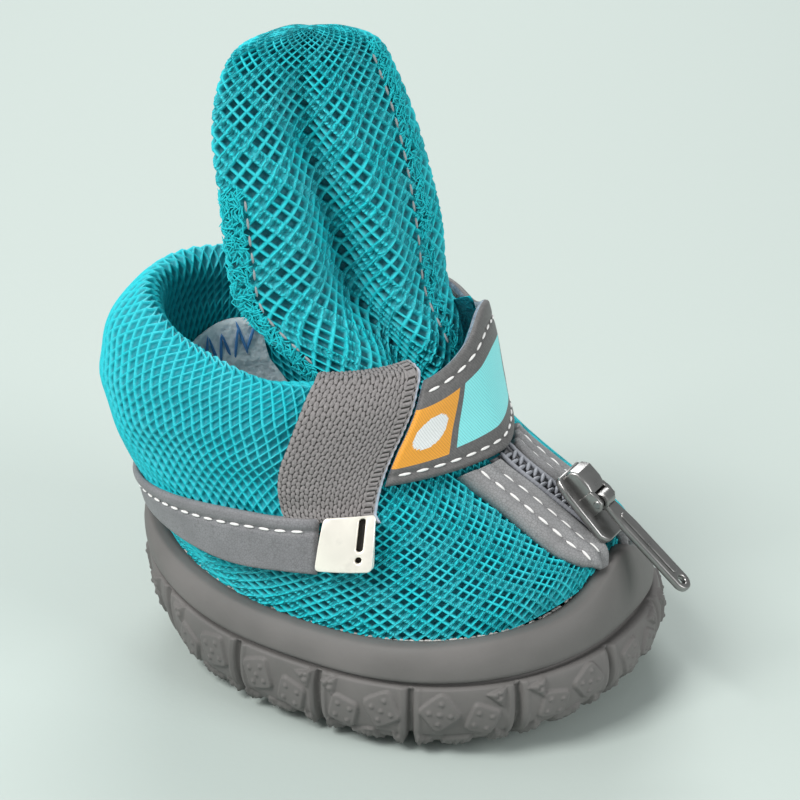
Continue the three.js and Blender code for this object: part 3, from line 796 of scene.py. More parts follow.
@dataclass(frozen=True)
class ClothFinish(Finish):
    """Close cloth with a fine plain weave, printed where its own map says so."""

    thread: float = 0.42
    print_colour: Colour | None = None
    other_colour: Colour | None = None

    def dress(self, n: Nodes, shader: Node) -> None:
        """Adds the weave, with painted shade where its threads dip, and any printed fields.

        Args:
            n: The tree.
            shader: Its shader.
        """
        cloth = n.add("ShaderNodeUVMap", uv_map="cloth")
        split = n.add("ShaderNodeSeparateXYZ", {0: cloth.outputs[0]})
        warp, weft = (
            n.sum("SINE", n.sum("MULTIPLY", split.outputs[k], 2 * math.pi / self.thread)) for k in (0, 1)
        )
        weave = n.sum("MULTIPLY_ADD", n.sum("MULTIPLY", warp, weft), 0.5, 0.5)
        fleck = n.spread(n.noise(2600.0, 2.0), 0.42, 0.62)
        shade = n.blend(n.sum("MULTIPLY", fleck, 0.5), self.colour, tint(*(c * 1.5 for c in self.colour[:3])))
        if self.print_colour and self.other_colour:
            inks = {"square": self.print_colour, "bar": self.other_colour, "mark": tint(0.8, 0.82, 0.82)}
            for name, ink in inks.items():
                field_ = n.own(name)
                shade = n.blend(n.spread(field_, 0.45, 0.55), shade, ink)
        # Painted shade: the weave's low points, where its bump dips, are darkened towards near-black.
        thread_gap_shade = n.blend(n.sum("MULTIPLY", n.spread(weave, 0.6, 0.1), 0.3), shade, tint(0.03, 0.03, 0.03))
        n.tree.links.new(thread_gap_shade, shader.inputs["Base Color"])
        self.bump(n, shader, n.sum("ADD", weave, n.sum("MULTIPLY", fleck, 0.5)), 0.00006, 0.5)


@dataclass(frozen=True)
class PileFinish(Finish):
    """Felt or brushed loop pile: soft tufts of two shades."""

    other: Colour = (0.3, 0.35, 0.4, 1.0)
    tuft: float = 1300.0

    def dress(self, n: Nodes, shader: Node) -> None:
        """Mixes the two shades in tufts.

        Args:
            n: The tree.
            shader: Its shader.
        """
        big = n.noise(self.tuft * 0.25, 3.0)
        small = n.noise(self.tuft, 4.0)
        slow = n.sum("MULTIPLY", n.spread(big, 0.4, 0.7), 0.3)
        share = n.sum("MULTIPLY_ADD", n.spread(small, 0.35, 0.65), 0.7, slow)
        n.tree.links.new(n.blend(share, self.other, self.colour), shader.inputs["Base Color"])
        self.bump(n, shader, n.sum("ADD", small, big), 0.0004, 0.8)


@dataclass(frozen=True)
class WebFinish(Finish):
    """Flat woven tape: light threads over gaps darkened with painted shade, by the piece's own heights."""

    # gap is painted shade, the near-black of the hollows between the threads.
    gap: Colour = (0.03, 0.028, 0.026, 1.0)

    def dress(self, n: Nodes, shader: Node) -> None:
        """Paints shade into the gaps between the threads.

        Args:
            n: The tree.
            shader: Its shader.
        """
        pit = n.own("pit")
        edge = n.own("rib")
        fibre = n.noise(3800.0, 3.0)
        thread = n.blend(n.spread(fibre, 0.35, 0.7), self.colour, tint(*(c * 1.45 for c in self.colour[:3])))
        cool = n.blend(edge, thread, tint(0.5, 0.56, 0.66))
        # Painted shade: the colour falls to near-black where the weave is low (pit).
        n.tree.links.new(n.blend(n.spread(pit, 0.35, 0.9), cool, self.gap), shader.inputs["Base Color"])
        self.bump(n, shader, fibre, 0.00008, 0.6)


@dataclass(frozen=True)
class MetalFinish(Finish):
    """Plated or cast metal with fine scratches and a little tarnish."""

    def dress(self, n: Nodes, shader: Node) -> None:
        """Adds scratches along the piece and cloudy roughness.

        Args:
            n: The tree.
            shader: Its shader.
        """
        here = n.add("ShaderNodeTexCoord").outputs["Object"]
        stretch = n.add("ShaderNodeMapping", {"Vector": here, "Scale": (300.0, 4200.0, 300.0)})
        fine = n.noise(1.0, 3.0, stretch.outputs[0])
        cloud = n.noise(420.0, 3.0)
        dull = n.blend(n.spread(cloud, 0.55, 0.95), self.colour, tint(*(c * 0.7 for c in self.colour[:3])))
        n.tree.links.new(dull, shader.inputs["Base Color"])
        rough = n.sum("MULTIPLY_ADD", n.spread(cloud, 0.3, 0.8), 0.18, self.rough)
        n.tree.links.new(rough, shader.inputs["Roughness"])
        self.bump(n, shader, fine, 0.00003, 0.25)


# The floor and groove colours of these knits are painted shade in the holes and between the rib strokes.
TEAL = KnitFinish(
    "teal_mesh", tint(0.005, 0.6, 0.67), 0.6, floor=tint(0.0, 0.13, 0.165), groove=tint(0.0, 0.33, 0.39)
)
TEAL_OPEN = KnitFinish(
    "teal_net", tint(0.005, 0.56, 0.64), 0.55, floor=tint(0.0, 0.26, 0.32), groove=tint(0.0, 0.34, 0.4)
)
RUBBER = RubberFinish("rubber", tint(0.125, 0.12, 0.116), 0.55)
HIDE = HideFinish("leatherette", tint(0.22, 0.22, 0.225), 0.42)
HIDE_STRIP = HideFinish("strip_leatherette", tint(0.19, 0.19, 0.2), 0.48)
TAPE = WebFinish("webbing", tint(0.2, 0.188, 0.188), 0.85)
STRAP_CLOTH = ClothFinish(
    "reflective", tint(0.115, 0.112, 0.112), 0.5,
    print_colour=tint(0.83, 0.36, 0.04), other_colour=tint(0.26, 0.82, 0.84),
)
FLEECE = PileFinish("fleece", tint(0.2, 0.27, 0.34), 0.95, sheen=0.5, other=tint(0.07, 0.11, 0.17))
FELT = PileFinish("felt", tint(0.82, 0.87, 0.9), 0.95, other=tint(0.6, 0.67, 0.72), tuft=900.0)
LINING = PileFinish("lining", tint(0.0, 0.26, 0.32), 0.9, other=tint(0.01, 0.14, 0.18), tuft=1600.0)
THREAD = Finish("thread", tint(0.82, 0.81, 0.8), 0.6)
DARK_THREAD = Finish("dark_thread", tint(0.3, 0.32, 0.33), 0.6)
FRAY = Finish("fray", tint(0.01, 0.52, 0.58), 0.8)
BLUE_THREAD = Finish("blue_thread", tint(0.06, 0.22, 0.5), 0.6, sheen=0.3)
COIL = Finish("coil", tint(0.27, 0.28, 0.31), 0.42)
TAPE_CLOTH = ClothFinish("zip_tape", tint(0.16, 0.16, 0.17), 0.8)
GUNMETAL = MetalFinish("gunmetal", tint(0.3, 0.295, 0.29), 0.26, metal=1.0)
NICKEL = MetalFinish("nickel", tint(1.0, 0.95, 0.86), 0.28, metal=0.5)
# Near-black painted shade for the hollow inside the strip's metal tip.
SHADE = RubberFinish("tip_painted_shade", tint(0.02, 0.018, 0.016), 0.7, dust=tint(0.05, 0.045, 0.04))
GLUE = Finish("glue", tint(0.5, 0.48, 0.46), 0.5)


# ---- what repeats


@dataclass(frozen=True)
class Bead:
    """A small rounded piece laid again and again: a stitch, a tooth of the zip, a tuft."""

    length: float
    width: float
    height: float

    def tree(self) -> Tree:
        """Makes the tree that lays a bead at each point of a mesh, once.

        Returns:
            The tree. Its points carry two directions, along and out.
        """
        kept = bpy.data.node_groups.get("Beads")
        if kept:
            return kept
        tree = bpy.data.node_groups.new("Beads", "GeometryNodeTree")
        tree.interface.new_socket("Geometry", in_out="INPUT", socket_type="NodeSocketGeometry")
        for name in ("Length", "Width", "Height"):
            tree.interface.new_socket(name, in_out="INPUT", socket_type="NodeSocketFloat")
        tree.interface.new_socket("Finish", in_out="INPUT", socket_type="NodeSocketMaterial")
        tree.interface.new_socket("Geometry", in_out="OUTPUT", socket_type="NodeSocketGeometry")
        n = Nodes(tree)
        given = n.add("NodeGroupInput")
        ball = n.add("GeometryNodeMeshUVSphere", {"Segments": 8, "Rings": 6, "Radius": 0.5})
        size = n.add("ShaderNodeCombineXYZ", {0: given.outputs[1], 1: given.outputs[2], 2: given.outputs[3]})
        shaped = n.add("GeometryNodeTransform", {"Geometry": ball.outputs[0], "Scale": size.outputs[0]})
        out, along = (
            n.add("GeometryNodeInputNamedAttribute", {0: name}, data_type="FLOAT_VECTOR").outputs[0]
            for name in ("out", "along")
        )
        up = n.add("FunctionNodeAlignRotationToVector", {"Vector": out}, axis="Z")
        turned = n.add(
            "FunctionNodeAlignRotationToVector",
            {"Rotation": up.outputs[0], "Vector": along},
            axis="X",
            pivot_axis="Z",
        )
        laid = n.add(
            "GeometryNodeInstanceOnPoints",
            {"Points": given.outputs[0], "Instance": shaped.outputs[0], "Rotation": turned.outputs[0]},
        )
        real = n.add("GeometryNodeRealizeInstances", {0: laid.outputs[0]})
        soft = n.add("GeometryNodeSetShadeSmooth", {0: real.outputs[0]})
        done = n.add("GeometryNodeSetMaterial", {"Geometry": soft.outputs[0], "Material": given.outputs[4]})
        n.add("NodeGroupOutput", {0: done.outputs[0]})
        return tree

    def lay(self, name: str, points: Array, along: Array, out: Array, finish: Finish) -> bpy.types.Object:
        """Lays the beads.

        Args:
            name: The new piece's name.
            points: Where they go, millimetres.
            along: The direction of each one's length.
            out: The direction of each one's height.
            finish: Their finish.

        Returns:
            A plain mesh object.
        """
        mesh = bpy.data.meshes.new(name + "_points")
        mesh.from_pydata((points * MM).tolist(), [], [])
        for key, value in (("along", along), ("out", out)):
            at = mesh.attributes.new(key, "FLOAT_VECTOR", "POINT")
            at.data.foreach_set("vector", np.ascontiguousarray(value, dtype=float).ravel())
        seeds = bpy.data.objects.new(name + "_points", mesh)
        bpy.context.scene.collection.objects.link(seeds)
        modifier = seeds.modifiers.new("Beads", "NODES")
        tree = self.tree()
        modifier.node_group = tree
        sizes = {
            "Length": self.length * MM,
            "Width": self.width * MM,
            "Height": self.height * MM,
            "Finish": finish.material(),
        }
        for item in tree.interface.items_tree:
            if item.in_out == "INPUT" and item.name in sizes:
                modifier[item.identifier] = sizes[item.name]
        bpy.context.view_layer.update()
        graph = bpy.context.evaluated_depsgraph_get()
        made = bpy.data.meshes.new_from_object(seeds.evaluated_get(graph), depsgraph=graph)
        made.name = name
        bpy.data.objects.remove(seeds)
        obj = bpy.data.objects.new(name, made)
        bpy.context.scene.collection.objects.link(obj)
        return obj


def spaced(path: Array, pitch: float, start: float = 0.5) -> tuple[Array, Array]:
    """Evenly spaced places along a path.

    Args:
        path: Points of the path, millimetres.
        pitch: The distance between places.
        start: Where the first lies, in pitches.

    Returns:
        The places and the path's direction at each.
    """
    step = np.linalg.norm(np.diff(path, axis=0), axis=1)
    run = np.concatenate([[0.0], np.cumsum(step)])
    at = np.arange(start * pitch, run[-1], pitch)
    places = np.stack([np.interp(at, run, path[:, k]) for k in range(3)], axis=-1)
    ahead = np.stack([np.interp(at + 0.05, run, path[:, k]) for k in range(3)], axis=-1)
    behind = np.stack([np.interp(at - 0.05, run, path[:, k]) for k in range(3)], axis=-1)
    return places, unit(ahead - behind)




def sew(
    name: str, lines: list[tuple[Array, Array]], finish: Finish, bead: Bead, pitch: float
) -> bpy.types.Object:
    """Sews rows of stitches.

    Args:
        name: The new piece's name.
        lines: For each row, its path and the outward direction at each point.
        finish: The thread.
        bead: One stitch.
        pitch: From one stitch to the next, millimetres.

    Returns:
        The stitches as one mesh.
    """
    places, alongs, outs = [], [], []
    for path, out in lines:
        at, along = spaced(path, pitch)
        nearest = np.argmin(np.linalg.norm(path[None] - at[:, None], axis=2), axis=1)
        places.append(at)
        alongs.append(along)
        outs.append(out[nearest])
    return bead.lay(name, np.concatenate(places), np.concatenate(alongs), np.concatenate(outs), finish)


# ---- sole


@dataclass
class Sole:
    """The moulded cup sole: tread blocks with raised tiles, a groove, a band with a toe peak, and a lip."""

    centre_x: float = 6.0
    square: float = 2.25
    blocks: int = 14
    slit_deep: float = 1.1
    slit_half: float = 0.55
    toe_peak: float = 4.6
    toe_peak_width: float = 7.5
    columns: int = 1060
    lug: float = 6.4
    rows: Table = field(
        default_factory=lambda: Table(
            "z toe heel half toe_rise heel_rise flat peak",
            [
                (1.0, 19.0, -16.0, 12.0, 0.0, 0.0, 20, 0.0),
                (1.0, 35.0, -28.0, 25.0, 2.0, 2.6, 20, 0.0),
                (1.4, 38.6, -32.0, 28.4, 3.4, 5.0, 16, 0.0),
                (3.4, 41.4, -35.4, 30.6, 3.4, 5.4, 12, 0.0),
                (7.0, 42.0, -37.6, 31.2, 2.8, 5.2, 8, 0.0),
                (10.6, 41.2, -38.6, 30.8, 2.4, 4.8, 6, 0.0),
                (10.8, 39.4, -37.8, 29.8, 2.4, 4.8, 6, 0.0),
                (11.4, 39.4, -37.8, 29.8, 2.5, 4.8, 6, 0.05),
                (11.7, 40.4, -39.0, 30.5, 2.7, 4.8, 6, 0.12),
                (13.7, 40.1, -39.6, 30.1, 3.6, 4.8, 5, 0.55),
                (15.2, 39.2, -39.4, 29.2, 4.4, 4.8, 4, 0.85),
                (15.8, 38.2, -38.8, 28.2, 4.8, 4.8, 4, 1.0),
                (15.2, 35.4, -35.8, 26.3, 4.6, 4.8, 4, 1.0),
                (10.5, 35.2, -35.6, 26.0, 3.6, 4.8, 6, 0.0),
                (5.0, 33.4, -33.4, 24.4, 4.4, 4.6, 12, 0.0),
                (5.0, 20.0, -18.0, 12.0, 4.4, 4.6, 12, 0.0),
            ],
        )
    )
    samples: tuple[int, ...] = (2, 3, 9, 20, 20, 3, 2, 3, 4, 3, 3, 3, 3, 3, 1)
    heights: tuple[float, ...] = (-10.0, 0.0, 3.4, 6.4, 10.05, 13.65)

    def point(self, angle: Array, level: Array) -> Array:
        """The sole's surface.

        Args:
            angle: From the toe.
            level: Up the sole.

        Returns:
            Points.
        """
        row = self.rows.at(level)
        r = egg_radius(
            angle, row["toe"] - self.centre_x, self.centre_x - row["heel"], row["half"], self.square
        )
        x = self.centre_x + r * np.cos(angle)
        y = r * np.sin(angle)
        toe = np.clip((x - row["flat"]) / (41 - row["flat"]), 0, 1) ** 2
        heel = np.clip((-x - row["flat"]) / (39 - row["flat"]), 0, 1) ** 2
        z = row["z"] + row["toe_rise"] * toe + row["heel_rise"] * heel
        climb = self.toe_peak * row["peak"] * np.exp(-((y / self.toe_peak_width) ** 2))
        return np.stack([x, y, z + np.where(x > 0, climb, 0.0)], axis=-1)

    def tiles(self, block: int) -> list[tuple[float, float, float, float, int]]:
        """The raised tiles of one tread block.

        Args:
            block: The block's number.

        Returns:
            For each tile, its place along and up the block, size, turn and number of dots.
        """
        s = [float(speckle(7, np.array(block), np.array(k))) for k in range(8)]
        side = 1 if block % 2 else -1
        return [
            (side * -3.2, 9.9 + 0.6 * s[0], 4.7, 0.25 + 0.5 * s[1], 5),
            (side * 2.7, 8.6 + 0.6 * s[2], 4.4, -0.45 * s[3] - 0.15, 4),
            (side * -0.6, 4.0 + 0.5 * s[4], 4.3, 0.5 - s[5], 6),
            (side * 5.0, 4.6 + 0.5 * s[6], 3.6, 0.6 * s[7], 3),
            (side * 4.9, 12.3, 3.2, 3.5, 3),
            (side * -5.4, 5.2, 3.2, 0.4, 3),
        ]

    def relief(self, angle: Array, level: Array, radius: Array) -> tuple[Array, Array]:
        """How far the tread stands off its plain form.

        Args:
            angle: Round the sole.
            level: Up the sole.
            radius: The distance from the middle, millimetres.

        Returns:
            The height of the relief, and how much dust settles there.
        """
        span = 2 * math.pi / self.blocks
        phase = np.mod(angle / span - 0.5, self.blocks)
        block = np.floor(phase).astype(int)
        x = (phase - block - 0.5) * span * radius
        edge = 0.5 * span * radius - np.abs(x)
        up = np.interp(level, np.arange(6), self.heights)
        on = (level > 1.05) & (level < 5.25)
        fade = smooth((level - 1.0) / 0.5) * smooth((5.3 - level) / 0.3)
        height = -self.slit_deep * (1 - smooth((edge - self.slit_half * 0.4) / 0.45)) * fade
        height += 0.22 * np.exp(-(((edge - 1.25) / 0.3) ** 2)) * fade
        height -= 0.25 * np.exp(-(((up - 6.2) / 0.22) ** 2)) * (edge > 1.6) * fade
        for b in range(self.blocks):
            here = block == b
            for at, high, size, turn, dots in self.tiles(b):
                dx = x[here] - at
                dy = up[here] - high
                a = dx * math.cos(turn) + dy * math.sin(turn)
                c = -dx * math.sin(turn) + dy * math.cos(turn)
                if dots == 3:
                    inside = size * 0.3 - np.maximum(np.maximum(-c, 0.866 * a + 0.5 * c), 0.5 * c - 0.866 * a)
                    spots = [(0.0, 0.75), (0.55, -0.45), (-0.55, -0.45)]
                else:
                    inside = size / 2 - (np.abs(a) ** 6 + np.abs(c) ** 6) ** (1 / 6)
                    spots = [(1.0, 1.0), (-1.0, -1.0), (1.0, -1.0), (-1.0, 1.0), (0.0, 0.0), (0.0, 1.0)][:dots]
                lift = 0.46 * smooth(inside / 0.24)
                for sx, sy in spots:
                    far = np.hypot(a - sx * size * 0.22, c - sy * size * 0.22) / 0.34
                    lift = lift + 0.28 * np.sqrt(np.clip(1 - far**2, 0, 1)) * (inside > 0.1)
                height[here] += lift * (edge[here] > 0.7) * fade[here]
        height = np.where(on, height, 0.0)
        dust = np.clip(1 - up / 5.5, 0, 1) * on * 0.9 + (height < -0.4) * 0.5
        return height, np.clip(dust, 0, 1)

    def lugs(self, surface: Surface) -> None:
        """Adds the small blocks under the sole, each with its foot on the ground."""
        for x, count in ((-20, 3), (-10, 5), (0, 5), (10, 5), (20, 3)):
            for k in range(count):
                y = (k - (count - 1) / 2) * 10.0
                rings = []
                for z, half in ((1.6, 3.2), (0.35, 3.2), (0.1, 3.1), (0.0, 2.85)):
                    corner = [(half, -half), (half, half), (-half, half), (-half, -half)]
                    rings.append([(x + p, y + q, z) for p, q in corner])
                surface.grid(np.array(rings).transpose(1, 0, 2)[:, ::-1], closed_u=True, dusty=0.6)
                surface.add(np.array(rings[-1])[::-1], [[0, 1, 2, 3]], dusty=0.6)

    def build(self) -> None:
        """Builds the sole and the pale fringe of glue along its lip."""
        levels = np.concatenate(
            [np.linspace(k, k + 1, n, endpoint=False) for k, n in enumerate(self.samples)] + [[15.0]]
        )
        angles = circle(self.columns)
        a, level = np.meshgrid(angles, levels, indexing="ij")
        place = lambda u, v, out: self.point(u, v)
        base = self.point(a, level)
        normal = normals_of(place, a, level, 0.004, 0.03)
        radius = np.hypot(base[..., 0] - self.centre_x, base[..., 1])
        height, dust = self.relief(a, level, radius)
        points = base + normal * height[..., None]
        surface = Surface()
        start = surface.grid(points, closed_u=True, dusty=dust)
        columns, rows = a.shape
        for end, z, order in ((0, 1.0, 1), (rows - 1, 5.0, -1)):
            hub = surface.add(np.array([[2.0, 0.0, z]]), np.zeros((0, 3), int))
            ring = start + np.arange(columns) * rows + end
            fan = np.stack([np.roll(ring, -order), ring, np.full(columns, hub)], axis=-1)
            surface.faces.extend(fan.tolist())
            surface.slots.append(np.zeros(columns))
        self.lugs(surface)
        sole = surface.make("sole_look", [RUBBER.material()])
        finished(sole, Body.BOOT, ("sole",))
        self.fringe()

    def fringe(self) -> None:
        """Lays the glue's crumbs where the mesh goes into the lip."""
        count = 420
        angle = circle(count)
        wobble = speckle(5, np.arange(count))
        path = self.point(angle, np.full(count, 11.75) + 0.15 * wobble)
        path[:, 2] += 0.1 * wobble
        along = unit(np.roll(path, -1, axis=0) - path)
        along += 0.9 * (np.stack([speckle(k, np.arange(count)) for k in (11, 12, 13)], axis=-1) - 0.5)
        out = np.tile([0.0, 0.0, 1.0], (count, 1))
        kept = wobble > 0.25
        crumbs = Bead(0.95, 0.5, 0.4).lay("glue_fringe", path[kept], along[kept], out[kept], GLUE)
        finished(crumbs, Body.BOOT, ())


@dataclass
class Insole:
    """The thin felt pad in the cup, with a zigzag of blue thread."""

    sole: Sole
    stand: float = 0.5
    thick: float = 1.6
    inset: float = 2.9

    def build(self) -> None:
        """Builds the pad and its zigzag."""
        columns = 120
        angle = circle(columns)
        centre = np.array([2.0, 0.0, 0.0])
        edge = self.sole.point(angle, np.full(columns, 14.0))
        outline = edge - unit((edge - centre) * [1, 1, 0]) * self.inset
        rings = []
        shares = (0.0, 0.6, 0.97, 1.0, 1.0, 0.97, 0.9, 0.75, 0.5, 0.25, 0.02)
        lifts = (0.0, 0.0, 0.0, 0.35, 0.75, 1.0, 1.06, 1.0, 1.0, 1.0, 1.0)
        for share, lift in zip(shares, lifts):
            ring = centre + (outline - centre) * [share, share, 1]
            ring[:, 2] = 5.0 + (outline[:, 2] - 5.0) * share**2 + self.stand + lift * self.thick
            rings.append(ring)
        rings[0][:, :2] = centre[:2] + (outline[:, :2] - centre[:2]) * 0.02
        surface = Surface()
        surface.grid(np.array(rings).transpose(1, 0, 2), closed_u=True)
        pad = surface.make("insole_look", [FELT.material()], merge=0.25, outward=True)
        finished(pad, Body.BOOT, ("insole",))
        k = np.arange(14)
        lift = np.full(14, 5.0 + self.stand + self.thick + 0.15)
        middle = np.stack([-24 + 2.3 * k, -1.0 + 0.3 * k, lift], axis=-1)
        middle[:, 2] += np.clip((-middle[:, 0] - 12) / 22, 0, 1) ** 2 * 1.6
        way = unit(np.stack([np.full(14, 1.15), np.where(k % 2, 3.4, -3.4), np.zeros(14)], axis=-1))
        up = np.tile([0.0, 0.0, 1.0], (14, 1))
        zigzag = Bead(7.0, 0.5, 0.45).lay("insole_thread", middle, way, up, BLUE_THREAD)
        finished(zigzag, Body.BOOT, ())


# ---- upper, collar and tongue


@dataclass
class Upper:
    """The foot of the boot: a knit outer face, a lining behind it, and the throat between the facings."""

    skin: Skin
    wall: float = 1.8
    top: float = 6.2
    seam: float = 2.95
    step_start: float = 0.6
    step_end: float = 1.06
    crowding: float = 0.45
    low: float = 0.8
    throat_edge: float = 0.13
    twist: float = 0.1
    backing: float = 0.9
    net: Net = Net(Weave.CLUSTER, 80, 24, ridge=0.18, depth=0.8, rim=0.74, floor=0.56, closed=True)

    def top_edge(self, angle: Array) -> Array:
        """The upper's top edge.

        Args:
            angle: From the toe.

        Returns:
            Its levels.
        """
        turn = np.abs(np.arctan2(np.sin(angle), np.cos(angle)))
        share = np.clip((turn - self.step_start) / (self.step_end - self.step_start), 0, 1)
        return mix(self.top, self.seam, share)

    def levels(self) -> tuple[Array, Array]:
        """Spreads the cloth evenly up the foot.

        Returns:
            Levels, and the share of the way up that each lies at.
        """
        level = np.linspace(self.low, self.top + 0.1, 60)
        path = self.skin.base(np.full(60, 0.75), level)
        run = np.concatenate([[0.0], np.cumsum(np.linalg.norm(np.diff(path, axis=0), axis=1))])
        return level, run / run[-1]

    def angle(self, u: Array, v: Array) -> Array:
        """Returns the angle round the foot of each place on the cloth."""
        turn = 2 * math.pi * (u + self.twist * v)
        return turn - self.crowding * np.sin(turn)

    def place(self, u: Array, v: Array, out: Array) -> Array:
        """The cloth's surface.

        Args:
            u: Shares round the foot.
            v: Shares up it.
            out: Distance off it.

        Returns:
            Points.
        """
        level, share = self.levels()
        angle = self.angle(u, v)
        return self.skin.point(angle, np.interp(v, share, level), out)

    def stays(self, u: Array, v: Array) -> Array:
        """Keeps the cells under the top edge and clear of the throat.

        Args:
            u: Shares round the foot.
            v: Shares up it.

        Returns:
            Whether each cell stays.
        """
        level, share = self.levels()
        angle = self.angle(u, v)
        at = np.interp(v, share, level)
        across = self.skin.base(angle, at)[..., 1] - self.skin.base(np.zeros_like(at), at)[..., 1]
        throat = (np.abs(across) < 3.4) & (at > 1.65) & (np.cos(angle) > 0)
        return (at < self.top_edge(angle) + 0.05) & ~throat

    def lining(self, surface: Surface) -> None:
        """Adds the inner face, open along the throat.

        Args:
            surface: Where it goes.
        """
        columns, rows = 150, 34
        s, t = np.meshgrid(np.linspace(0, 1, columns), np.linspace(0, 1, rows), indexing="ij")
        level = mix(0.5, self.top, t)
        gap = 3.2 * smooth((level - 1.5) / 0.4) / 26.0
        angle = mix(gap, 2 * math.pi - gap, s)
        level = np.minimum(level, self.top_edge(angle))
        surface.grid(self.skin.point(angle, level, -self.wall)[:, ::-1], slot=1)
        edge = np.linspace(self.throat_edge, 2 * math.pi - self.throat_edge, 200)
        top = self.top_edge(edge)
        hem = [self.skin.point(edge, top, out) for out in (-self.wall, -self.wall * 0.5, 0.05)]
        hem[1] += [0, 0, 0.45]
        surface.grid(np.array(hem).transpose(1, 0, 2), slot=1)
        # Backs the slit in front of the collar. It also runs on inside the collar's padding.
        for side in (-1, 1):
            turn, level = np.meshgrid(np.linspace(0.62, 1.32, 24), np.linspace(2.4, 5.9, 24), indexing="ij")
            surface.grid(self.skin.point(side * turn, level, -self.backing)[::side], slot=1)

    def build(self) -> None:
        """Builds the upper."""
        surface = Surface()
        self.net.lay(surface, self.place, self.stays)
        self.lining(surface)
        upper = surface.make("upper_look", [TEAL.material(), LINING.material()])
        finished(upper, Body.BOOT, ("upper",))


@dataclass
class Collar:
    """The padded collar: from its seam up the outer face, over the rim and down inside."""

    skin: Skin
    upper: Upper
    gap: float = 0.06
    taper: float = 0.08
    net: Net = Net(Weave.DIAMOND, 72, 19, ridge=0.2, depth=0.4, rim=0.78, floor=0.66)
    rows: Table = field(
        default_factory=lambda: Table(
            "level deep lift",
            [
                (3.04, 0.0, 0), (3.6, 0.0, 0), (4.2, 0.0, 0), (5.0, 0.0, 0), (5.7, 0.0, 0), (6.4, 0.0, 0),
                (7.0, 0.6, 0.2), (7.0, 2.8, 1.2), (6.8, 5.4, 0.6), (6.0, 7.8, 0), (5.0, 8.8, 0), (4.0, 8.0, 0),
                (3.0, 5.6, 0), (2.0, 4.0, 0), (2.0, 2.2, 0), (3.04, 2.2, 0),
            ],
        )
    )

    def front(self, level: Array, deep: Array) -> Array:
        """Returns the angle of the collar's front edge at a level and depth."""
        share = (self.upper.top - level) / (self.upper.top - self.upper.seam)
        return mix(self.upper.step_start, self.upper.step_end, share) + self.gap + self.taper * deep

    def base(self, u: Array, row: Array) -> Array:
        """The collar's plain form.

        Args:
            u: Shares round it.
            row: Rows along its section.

        Returns:
            Points.
        """
        at = self.rows.at(row)
        front = self.front(at["level"], at["deep"])
        point = self.skin.point(mix(front, 2 * math.pi - front, u), at["level"], -at["deep"])
        point[..., 2] += at["lift"]
        return point

    def place(self, u: Array, v: Array, out: Array) -> Array:
        """The collar's cloth.

        Args:
            u: Shares round it.
            v: Shares along its section.
            out: Distance off it.

        Returns:
            Points.
        """
        row = np.linspace(0, 13, 120)
        path = self.base(np.full(120, 0.5), row)
        run = np.concatenate([[0.0], np.cumsum(np.linalg.norm(np.diff(path, axis=0), axis=1))])
        at = np.interp(v, run / run[-1], row)
        flat = lambda a, b, _: self.base(a, b)
        normal = normals_of(flat, u, at, 0.004, 0.06)
        puff = 0.25 * np.sin(u * 46 + 3 * np.sin(at)) * np.sin(at * 1.9 + 5 * u)
        return self.base(u, at) + normal * (out + puff)[..., None]

    def build(self) -> None:
        """Builds the collar."""
        surface = Surface()
        self.net.lay(surface, self.place)
        ends = np.linspace(0, 13, 60)
        for u in (0.0, 1.0):
            ring = self.base(np.full(60, u), ends)
            middle = self.base(np.full(60, u), np.full(60, 12.0)) * 0.5 + ring.mean(axis=0) * 0.5
            surface.grid(np.stack([ring, middle])[:: 1 if u else -1], slot=1)
        collar = surface.make("collar_look", [TEAL_OPEN.material(), LINING.material()])
        finished(collar, Body.BOOT, ("collar",))


@dataclass
class HeelFelt:
    """The pale felt patch inside the collar, behind the tongue, held by a zigzag of blue thread."""

    collar: Collar
    start: float = 0.56
    end: float = 0.3
    low_row: float = 12.4
    top_rows: tuple[float, float] = (10.7, 9.5)

    def place(self, s: Array, w: Array, out: Array) -> Array:
        """The patch's surface.

        Args:
            s: Shares along it.
            w: Shares down it.
            out: Distance into the boot.

        Returns:
            Points.
        """
        u = mix(self.start, self.end, s)
        top = mix(self.top_rows[0], self.top_rows[1], smooth(s * 1.3))
        row = mix(top, self.low_row, w)
        flat = lambda a, b, _: self.collar.base(a, b)
        normal = normals_of(flat, u, row, 0.004, 0.06)
        return self.collar.base(u, row) + normal * (out + 0.3 * np.sin(9 * s + 3 * w))[..., None]

    def build(self) -> None:
        """Builds the patch and its thread."""
        surface = Surface()
        ribbon(surface, self.place, 60, 24, 0.7, 0.8, (20.0, 10.0))
        felt = surface.make("heel_felt", [FELT.material()], outward=True)
        finished(felt, Body.BOOT, ())
        k = np.arange(13)
        s = 0.06 + 0.07 * k
        zig = np.where(k % 2 == 0, 0.1, 0.5) + 0.06 * np.sin(k)
        ends = self.place(s, zig, np.full(13, 1.65))
        up = self.place(s, zig, np.full(13, 2.65)) - ends
        middle = (ends[1:] + ends[:-1]) / 2
        way = ends[1:] - ends[:-1]
        long = float(np.linalg.norm(way, axis=1).mean())
        bead = Bead(long * 1.15, 0.55, 0.45)
        thread = bead.lay("heel_felt_thread", middle, unit(way), unit(up[1:]), BLUE_THREAD)
        finished(thread, Body.BOOT, ())


